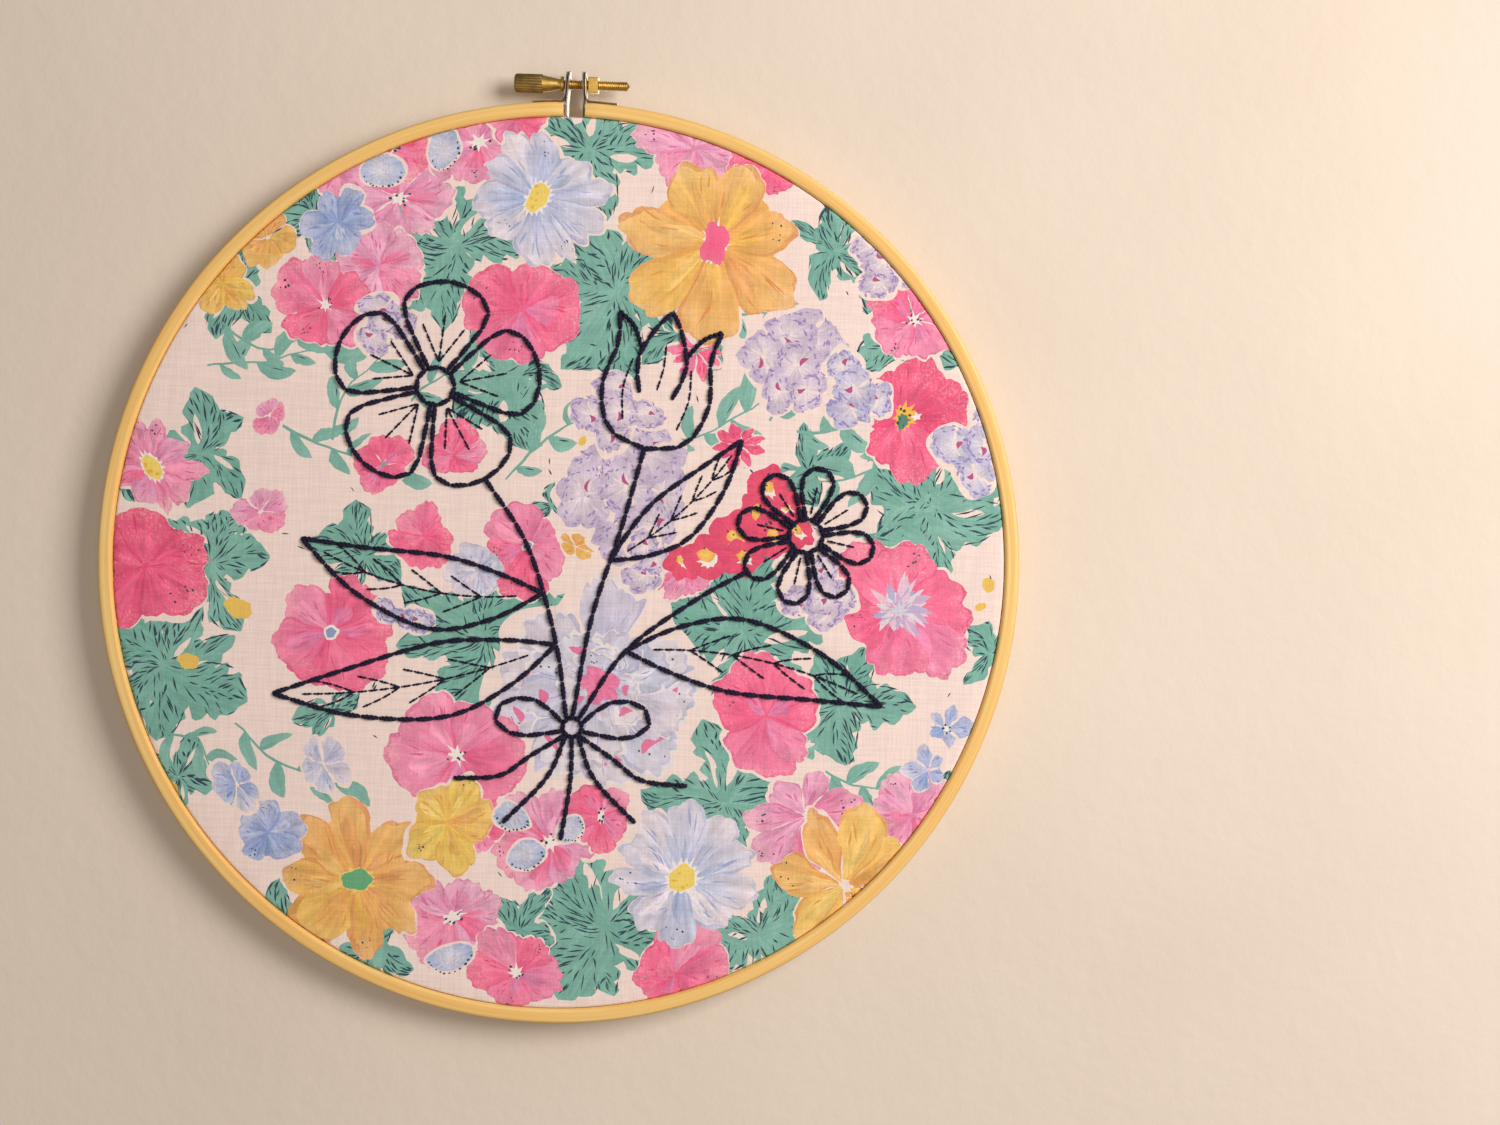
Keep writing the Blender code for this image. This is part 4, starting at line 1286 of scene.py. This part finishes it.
class Threads:
    """Collects stitches as points, faces and places along the fibres."""

    def __init__(self):
        self.points = []
        self.faces = []
        self.fibres = []
        self.random = random.Random(3)

    def stitch(self, start, end, yarn, low, high):
        """One stitch from hole to hole, bowed from the level low to the level high."""
        along = Vector((end[0] - start[0], end[1] - start[1], 0))
        length = along.length
        ahead = along / length
        aside = Vector((-ahead.y, ahead.x, 0))
        start_turn = self.random.uniform(0, math.tau)
        for ply in range(yarn.plies):
            middles = []
            for step in range(yarn.steps + 1):
                t = step / yarn.steps
                lift = math.sin(math.pi * min(max(t, 0.02), 0.98)) ** 0.5
                turn = start_turn + math.tau * (ply / yarn.plies + t * length / yarn.pitch)
                spread = yarn.offset * (0.4 + 0.6 * lift)
                middle = Vector((start[0], start[1], low + (high - low) * lift)) + along * t
                middle += aside * (spread * math.cos(turn)) + Vector((0, 0, spread * math.sin(turn)))
                middles.append((middle, yarn.radius * (0.6 + 0.4 * lift), t * length))
            self.tube(middles, aside, yarn.sides)

    def tube(self, middles, aside, sides):
        """A tube through (middle, radius, distance) points, closed at both ends."""
        first, seed = len(self.points), self.random.uniform(0, 90)
        for middle, radius, distance in middles:
            for side in range(sides):
                angle = math.tau * side / sides
                off = aside * math.cos(angle) + Vector((0, 0, math.sin(angle)))
                self.points.append(world(*(middle + off * radius)))
                self.fibres.append((distance, side, seed))
        self.faces += tube_faces(first, len(middles), sides)

    def piece(self, name, replaced=()):
        """The collected stitches as one piece."""
        made = new_piece(name, self.points, self.faces, "thread", "hoop", replaced, 180.0)
        store(made, "fibre", "FLOAT_VECTOR", "POINT", self.fibres)
        return made


def back_stitch(face, reverse, holes, yarn, gap, height):
    """A row of back stitches on the face, and the longer stitches that overlap on its reverse."""
    back = CLOTH_FRONT - CLOTH_THICKNESS
    for index, (start, end) in enumerate(zip(holes, holes[1:])):
        short = (end - start) * gap
        face.stitch(start + short, end - short, yarn, CLOTH_FRONT - 0.12, CLOTH_FRONT + height)
        before = holes[max(index - 1, 0)]
        aside = Vector((start.y - end.y, end.x - start.x)).normalized() * (0.35 if index % 2 else -0.35)
        reverse.stitch(before + aside, end + aside, FINE, back + 0.2, back - 0.35)


def make_bouquet():
    """The stitches on the face and on the reverse. Returns spots along the lines, for the puckers."""
    face, reverse = Threads(), Threads()
    spots = []
    for points, closed in bouquet_lines():
        holes = smooth(points, closed, STITCH_LENGTH, FEWEST_STITCHES)
        back_stitch(face, reverse, holes, HEAVY, 0.02, 0.46)
        spots += [start.lerp(end, share / 4) for start, end in zip(holes, holes[1:]) for share in range(4)]
    for points in detail_lines():
        back_stitch(face, reverse, smooth(points, False, FINE_STITCH, 1), FINE, 0.04, 0.2)
    face.piece("stitches", ["stitched_bouquet"])
    reverse.piece("reverse_stitches")
    return spots


# Wooden rings

RING_STEPS = 360
OPENING_RADIUS = CLOTH_RADIUS + 0.12
SPLIT = 5.6
JOINT_GAP = 0.05


def rounded(inner, outer, back, front, rounding, steps=5):
    """A ring's section with round corners, as (radius, height) points."""
    corners = (
        (outer - rounding, front - rounding),
        (inner + rounding, front - rounding),
        (inner + rounding, back + rounding),
        (outer - rounding, back + rounding),
    )
    section = []
    for quarter, (radius, height) in enumerate(corners):
        for step in range(steps + 1):
            angle = math.pi / 2 * (quarter + step / steps)
            section.append((radius + rounding * math.cos(angle), height + rounding * math.sin(angle)))
    return section


def make_ring(name, section, top, gap, material, replaced):
    """A bent wooden ring from end to end. top is the angle of the gap between its ends."""
    points, grain = [], []
    mean = sum(radius for radius, _ in section) / len(section)
    height = sum(level for _, level in section) / len(section)
    half = math.asin(gap / 2 / mean)
    for step in range(RING_STEPS + 1):
        angle = top + half + (math.tau - 2 * half) * step / RING_STEPS
        ends = 0.94 if step in (0, RING_STEPS) and gap > 1 else 1.0
        waver = 0.05 * noise.noise((4 * math.cos(angle), 4 * math.sin(angle), mean))
        for radius, level in section:
            away = mean + (radius - mean) * ends + waver
            up = height + (level - height) * ends
            points.append(world(away * math.cos(angle), away * math.sin(angle), up))
            grain.append((mean * angle, radius, level))
    faces = [face[::-1] for face in tube_faces(0, RING_STEPS + 1, len(section))]
    ring = new_piece(name, points, faces, material, "hoop", replaced, 40.0)
    store(ring, "grain", "FLOAT_VECTOR", "POINT", grain)


def make_rings():
    """The split outer ring and the closed inner one, whose ends meet in a glued joint."""
    outside = rounded(OPENING_RADIUS, OUTER_RADIUS - 0.05, 0, RING_DEPTH, 1.0)
    make_ring("outer_hoop", outside, math.pi / 2, SPLIT, "outer_wood", ["outer_ring"])
    front = CLOTH_FRONT - CLOTH_THICKNESS - 0.12
    inside_section = rounded(INNER_RADIUS, CLOTH_RADIUS - CLOTH_THICKNESS - 0.1, 0, front, 0.45)
    make_ring("inner_hoop", inside_section, -1.1, JOINT_GAP, "inner_wood", ["inner_ring"])


# Screw fitting, along x through the screw's axis

SCREW_SIDES = 72
KNURLS = 24
KNURL_DEPTH = 0.16
THREAD_PITCH = 0.5
THREAD_DEPTH = 0.22
THREAD_RADIUS = 1.25
GRIP_RADIUS = 2.4
NECK_RADIUS = 1.4
SHOULDER_RADIUS = 2.05
GRIP_END = -8.5
NUT_SIZE = Vector((2.6, 4.1, 4.1))
NUT_WEAR = 0.32
NUT_TURN = 10
TAPER_END = -4.7
SHOULDER_THICKNESS = 0.9
SHOULDER_FACE = -3.135


def knurled(radius):
    """A radius that varies round the grip."""
    return lambda x, angle: radius - KNURL_DEPTH * abs(math.sin(KNURLS * angle / 2)) ** 0.7


def plain(radius):
    """A round section."""
    return lambda x, angle: radius


def threaded(x, angle):
    """A helical thread."""
    phase = (x / THREAD_PITCH - angle / math.tau) % 1
    return THREAD_RADIUS - THREAD_DEPTH * abs(2 * phase - 1)


def make_screw():
    """The brass screw: knurled grip, bright taper, neck, shoulder and threaded rod."""
    start, end = SCREW_LOW.x, SCREW_HIGH.x
    sections = [
        (start, plain(0.01)), (start, plain(GRIP_RADIUS - 0.5)), (start + 0.2, plain(GRIP_RADIUS - 0.2)),
        (start + 0.45, knurled(GRIP_RADIUS)), (GRIP_END - 0.35, knurled(GRIP_RADIUS)),
        (GRIP_END - 0.1, plain(GRIP_RADIUS - 0.18)), (GRIP_END + 0.1, plain(GRIP_RADIUS - 0.22)),
        (TAPER_END - 0.3, plain(NECK_RADIUS + 0.08)), (TAPER_END, plain(NECK_RADIUS)),
        (SHOULDER_FACE - SHOULDER_THICKNESS, plain(NECK_RADIUS)),
        (SHOULDER_FACE - SHOULDER_THICKNESS, plain(SHOULDER_RADIUS - 0.12)),
        (SHOULDER_FACE - SHOULDER_THICKNESS + 0.12, plain(SHOULDER_RADIUS)),
        (SHOULDER_FACE - 0.12, plain(SHOULDER_RADIUS)), (SHOULDER_FACE, plain(SHOULDER_RADIUS - 0.12)),
        (SHOULDER_FACE, plain(THREAD_RADIUS - THREAD_DEPTH)),
    ]
    threads = int((end - 0.7 - SHOULDER_FACE) / THREAD_PITCH * 8)
    sections += [(SHOULDER_FACE + 0.05 + THREAD_PITCH * i / 8, threaded) for i in range(1, threads)]
    sections += [(end - 0.5, plain(THREAD_RADIUS - THREAD_DEPTH)), (end, plain(0.3)), (end, plain(0.01))]
    points = []
    for x, radius in sections:
        for side in range(SCREW_SIDES):
            angle = math.tau * side / SCREW_SIDES
            away = radius(x, angle)
            points.append(world(x, SCREW_Y + away * math.cos(angle), SCREW_Z + away * math.sin(angle)))
    faces = tube_faces(0, len(sections), SCREW_SIDES)
    screw = new_piece("brass_screw", points, faces, "brass", "screw", ["clamp_screw"], 35.0)
    screw.data.materials.append(MATERIALS["dull_brass"])
    for face in screw.data.polygons:
        face.material_index = 1 if face.center.x < (GRIP_END - 0.1) * MM else 0


def on_axis(name, shape, start, end, degrees, axis):
    """A turned shape as a mesh, set between two places along the screw's axis."""
    mesh = bpy.data.meshes.new(name)
    shape.to_mesh(mesh)
    shape.free()
    turn = Matrix.Rotation(math.radians(degrees), 4, axis)
    mesh.transform(Matrix.Translation(world((start + end) / 2, SCREW_Y, SCREW_Z)) @ turn)
    return mesh


def bored(piece, radius, start, end):
    """Cuts a round hole through a piece, along the screw's axis."""
    shape, radius = bmesh.new(), radius * MM
    bmesh.ops.create_cone(
        shape, cap_ends=True, segments=48, radius1=radius, radius2=radius, depth=(end - start) * MM
    )
    cutter = linked("bore", on_axis("bore", shape, start, end, 90, "Y"))
    modifier = piece.modifiers.new("bore", "BOOLEAN")
    modifier.operation = "DIFFERENCE"
    modifier.object = cutter
    bpy.context.view_layer.update()
    graph = bpy.context.evaluated_depsgraph_get()
    mesh = bpy.data.meshes.new_from_object(piece.evaluated_get(graph))
    piece.modifiers.clear()
    piece.data = mesh
    bpy.data.objects.remove(cutter)
    soften(mesh, 35)


def make_nut():
    """The square brass nut, with worn corners."""
    shape = bmesh.new()
    bmesh.ops.create_cube(shape, size=1)
    bmesh.ops.scale(shape, vec=NUT_SIZE * MM, verts=shape.verts)
    bmesh.ops.bevel(shape, geom=shape.edges, offset=NUT_WEAR * MM, segments=3, profile=0.6, affect="EDGES")
    mesh = on_axis("square_nut", shape, NUT_LOW.x, NUT_HIGH.x, NUT_TURN, "X")
    mesh.materials.append(MATERIALS["brass"])
    nut = linked("square_nut", mesh)
    bored(nut, THREAD_RADIUS + 0.08, NUT_LOW.x - 1, NUT_HIGH.x + 1)
    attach(nut, "hoop")
    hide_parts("nut")


EAR_HALF = 3.5
EAR_TOP = SCREW_Y + EAR_HALF
LAYER = 0.5
STRIP_BEND = 1.4
FLANGE_SEAT = OUTER_RADIUS + 0.3
STRIP_ACROSS = 14
FLANGE_END = 10.9
EAR_INSIDE = 1.9
EAR_LEAN = math.tan(math.radians(3))
EAR_BORE = 1.6


def strip(path, points, faces):
    """Adds a closed strip of sheet metal that follows (x, y) points, rounded over the screw at its top."""
    first = len(points)
    rows = len(path)
    across = [math.sin(math.pi * (j / STRIP_ACROSS - 0.5)) for j in range(STRIP_ACROSS + 1)]
    for side in (1, -1):
        for index, (x, y) in enumerate(path):
            before, after = path[max(index - 1, 0)], path[min(index + 1, rows - 1)]
            run = Vector((after[0] - before[0], after[1] - before[1])).normalized()
            over = max(y - SCREW_Y, 0) if abs(x) < 4 else 0
            half = math.sqrt(max(EAR_HALF**2 - over**2, 0.01))
            for share in across:
                thick = LAYER / 2 * (1 - abs(share) ** 8 * 0.85) * side
                points.append(world(x - run.y * thick, y + run.x * thick, SCREW_Z + half * share))
    wide = STRIP_ACROSS + 1
    far = first + rows * wide
    for row in range(rows - 1):
        for column in range(STRIP_ACROSS):
            a = first + row * wide + column
            faces.append((a, a + wide, a + wide + 1, a + 1))
            b = far + row * wide + column
            faces.append((b, b + 1, b + wide + 1, b + wide))
        for a in (first + row * wide, first + row * wide + STRIP_ACROSS):
            b = a + rows * wide
            edge = (a, b, b + wide, a + wide)
            faces.append(edge if a == first + row * wide else edge[::-1])
    for column in range(STRIP_ACROSS):
        a, b = first + column, far + column
        faces.append((a, a + 1, b + 1, b))
        a, b = first + (rows - 1) * wide + column, far + (rows - 1) * wide + column
        faces.append((a + 1, a, b, b + 1))


def make_bracket(name, side, node):
    """Two layers of steel strip that form an ear: one from the flange on the ring, one down its end."""
    near = EAR_INSIDE + LAYER / 2
    outer = near + LAYER + 0.08
    foot = FLANGE_SEAT + STRIP_BEND + 0.4
    levels = [foot + (EAR_TOP - 0.02 - foot) * i / 14 for i in range(15)]
    flange = []
    for step in range(9):
        x = FLANGE_END - (FLANGE_END - outer - STRIP_BEND) * step / 8
        flange.append((x, math.sqrt((FLANGE_SEAT + LAYER / 2) ** 2 - x * x)))
    for step in range(1, 7):
        angle = math.pi / 2 * step / 6
        x = outer + STRIP_BEND * (1 - math.sin(angle))
        flange.append((x, flange[8][1] + STRIP_BEND * (1 - math.cos(angle))))
    flange += [(outer - EAR_LEAN * (y - FLANGE_SEAT), y) for y in levels]
    leg = [(near, OPENING_RADIUS + 0.5 + i * 0.55) for i in range(8)]
    leg += [(near - EAR_LEAN * (y - FLANGE_SEAT), y) for y in levels]
    points, faces = [], []
    for path in (flange, leg):
        strip([(side * x, y) for x, y in path], points, faces)
    bracket = new_piece(name, points, faces, "steel", "hoop", [node], 40.0)
    shape = bmesh.new()
    shape.from_mesh(bracket.data)
    bmesh.ops.remove_doubles(shape, verts=shape.verts, dist=0.00001)
    bmesh.ops.recalc_face_normals(shape, faces=shape.faces)
    shape.to_mesh(bracket.data)
    shape.free()
    bored(bracket, EAR_BORE, *sorted((0.2 * side, 6 * side)))


# Camera, wall and light, in metres

WALL_HALF = 1.2
WALL_BEHIND = 0.0008


def make_camera():
    """The photograph's view: square on, with the hoop left of the middle and turned a little."""
    right = Vector((math.cos(VIEW_ROLL), 0, math.sin(VIEW_ROLL)))
    up = Vector((-math.sin(VIEW_ROLL), 0, math.cos(VIEW_ROLL)))
    back = Vector((0, -1, 0))
    eye = world(0, 0, CLOTH_FRONT) + right * VIEW_ASIDE * MM + back * VIEW_DISTANCE * MM
    data = bpy.data.cameras.new("view")
    data.lens = 50
    data.sensor_width = 36
    data.clip_start = 0.01
    camera = linked("view", data)
    camera.matrix_world = Matrix.Translation(eye) @ Matrix((right, up, back)).transposed().to_4x4()
    bpy.context.scene.camera = camera


def make_light(name, offset, size, power, colour):
    """A soft square lamp that looks at the hoop's centre from an offset in metres."""
    data = bpy.data.lights.new(name, "AREA")
    data.shape = "SQUARE"
    data.size = size
    data.energy = power
    data.color = colour
    lamp = linked(name, data)
    lamp.location = world(0, 0, 0) + Vector(offset)
    lamp.rotation_euler = (-Vector(offset)).to_track_quat("-Z", "Y").to_euler()


def make_wall():
    """A pale plastered wall just behind the hoop, clear when seen from behind."""
    s = Shading("plaster", Roughness=0.95, Specular_IOR_Level=0.1)
    place = s.place()
    soft = s.noise(place, 160.0, 5.0, 0.6)
    patches = s.fit(s.noise(place, 9.0, 2.0), 0.3, 0.7, 0.0, 1.0)
    s.set("Base Color", s.mix(patches, linear(237, 221, 205), linear(231, 214, 198)))
    s.bump(soft, 0.0008, 0.35)
    clear = s.node("BsdfTransparent").outputs[0]
    behind = s.node("NewGeometry").outputs["Backfacing"]
    both = s.node("MixShader", {0: behind, 1: s.shader.outputs[0], 2: clear})
    s.put(s.tree.nodes["Material Output"].inputs["Surface"], both.outputs[0])
    corners = [(x * WALL_HALF, WALL_BEHIND, z * WALL_HALF) for x, z in ((-1, -1), (1, -1), (1, 1), (-1, 1))]
    wall = linked("wall", new_mesh("wall", corners, [(0, 1, 2, 3)], s.material))
    wall.visible_shadow = False
    wall.visible_diffuse = False
    wall.visible_glossy = False


def make_world():
    """Even pale light from all round."""
    surroundings = bpy.data.worlds.new("studio")
    surroundings.use_nodes = True
    shade = surroundings.node_tree.nodes["Background"]
    shade.inputs["Color"].default_value = (1.0, 0.95, 0.88, 1)
    shade.inputs["Strength"].default_value = 0.24
    bpy.context.scene.world = surroundings
    bpy.context.scene.view_settings.view_transform = "Standard"


make_camera()
make_world()
make_wall()
make_light("window", (0.58, -0.6, 0.24), 0.4, 6.1, (1.0, 0.97, 0.94))
make_light("room", (0.0, -1.6, -0.3), 1.2, 3.4, (1.0, 0.93, 0.85))
make_light("behind", (0.3, 1.3, 0.4), 1.0, 10.0, (1.0, 0.96, 0.9))
make_rings()
make_screw()
make_nut()
make_bracket("left_clasp", -1, "left_bracket")
make_bracket("right_clasp", 1, "right_bracket")
make_cloth(make_bouquet())
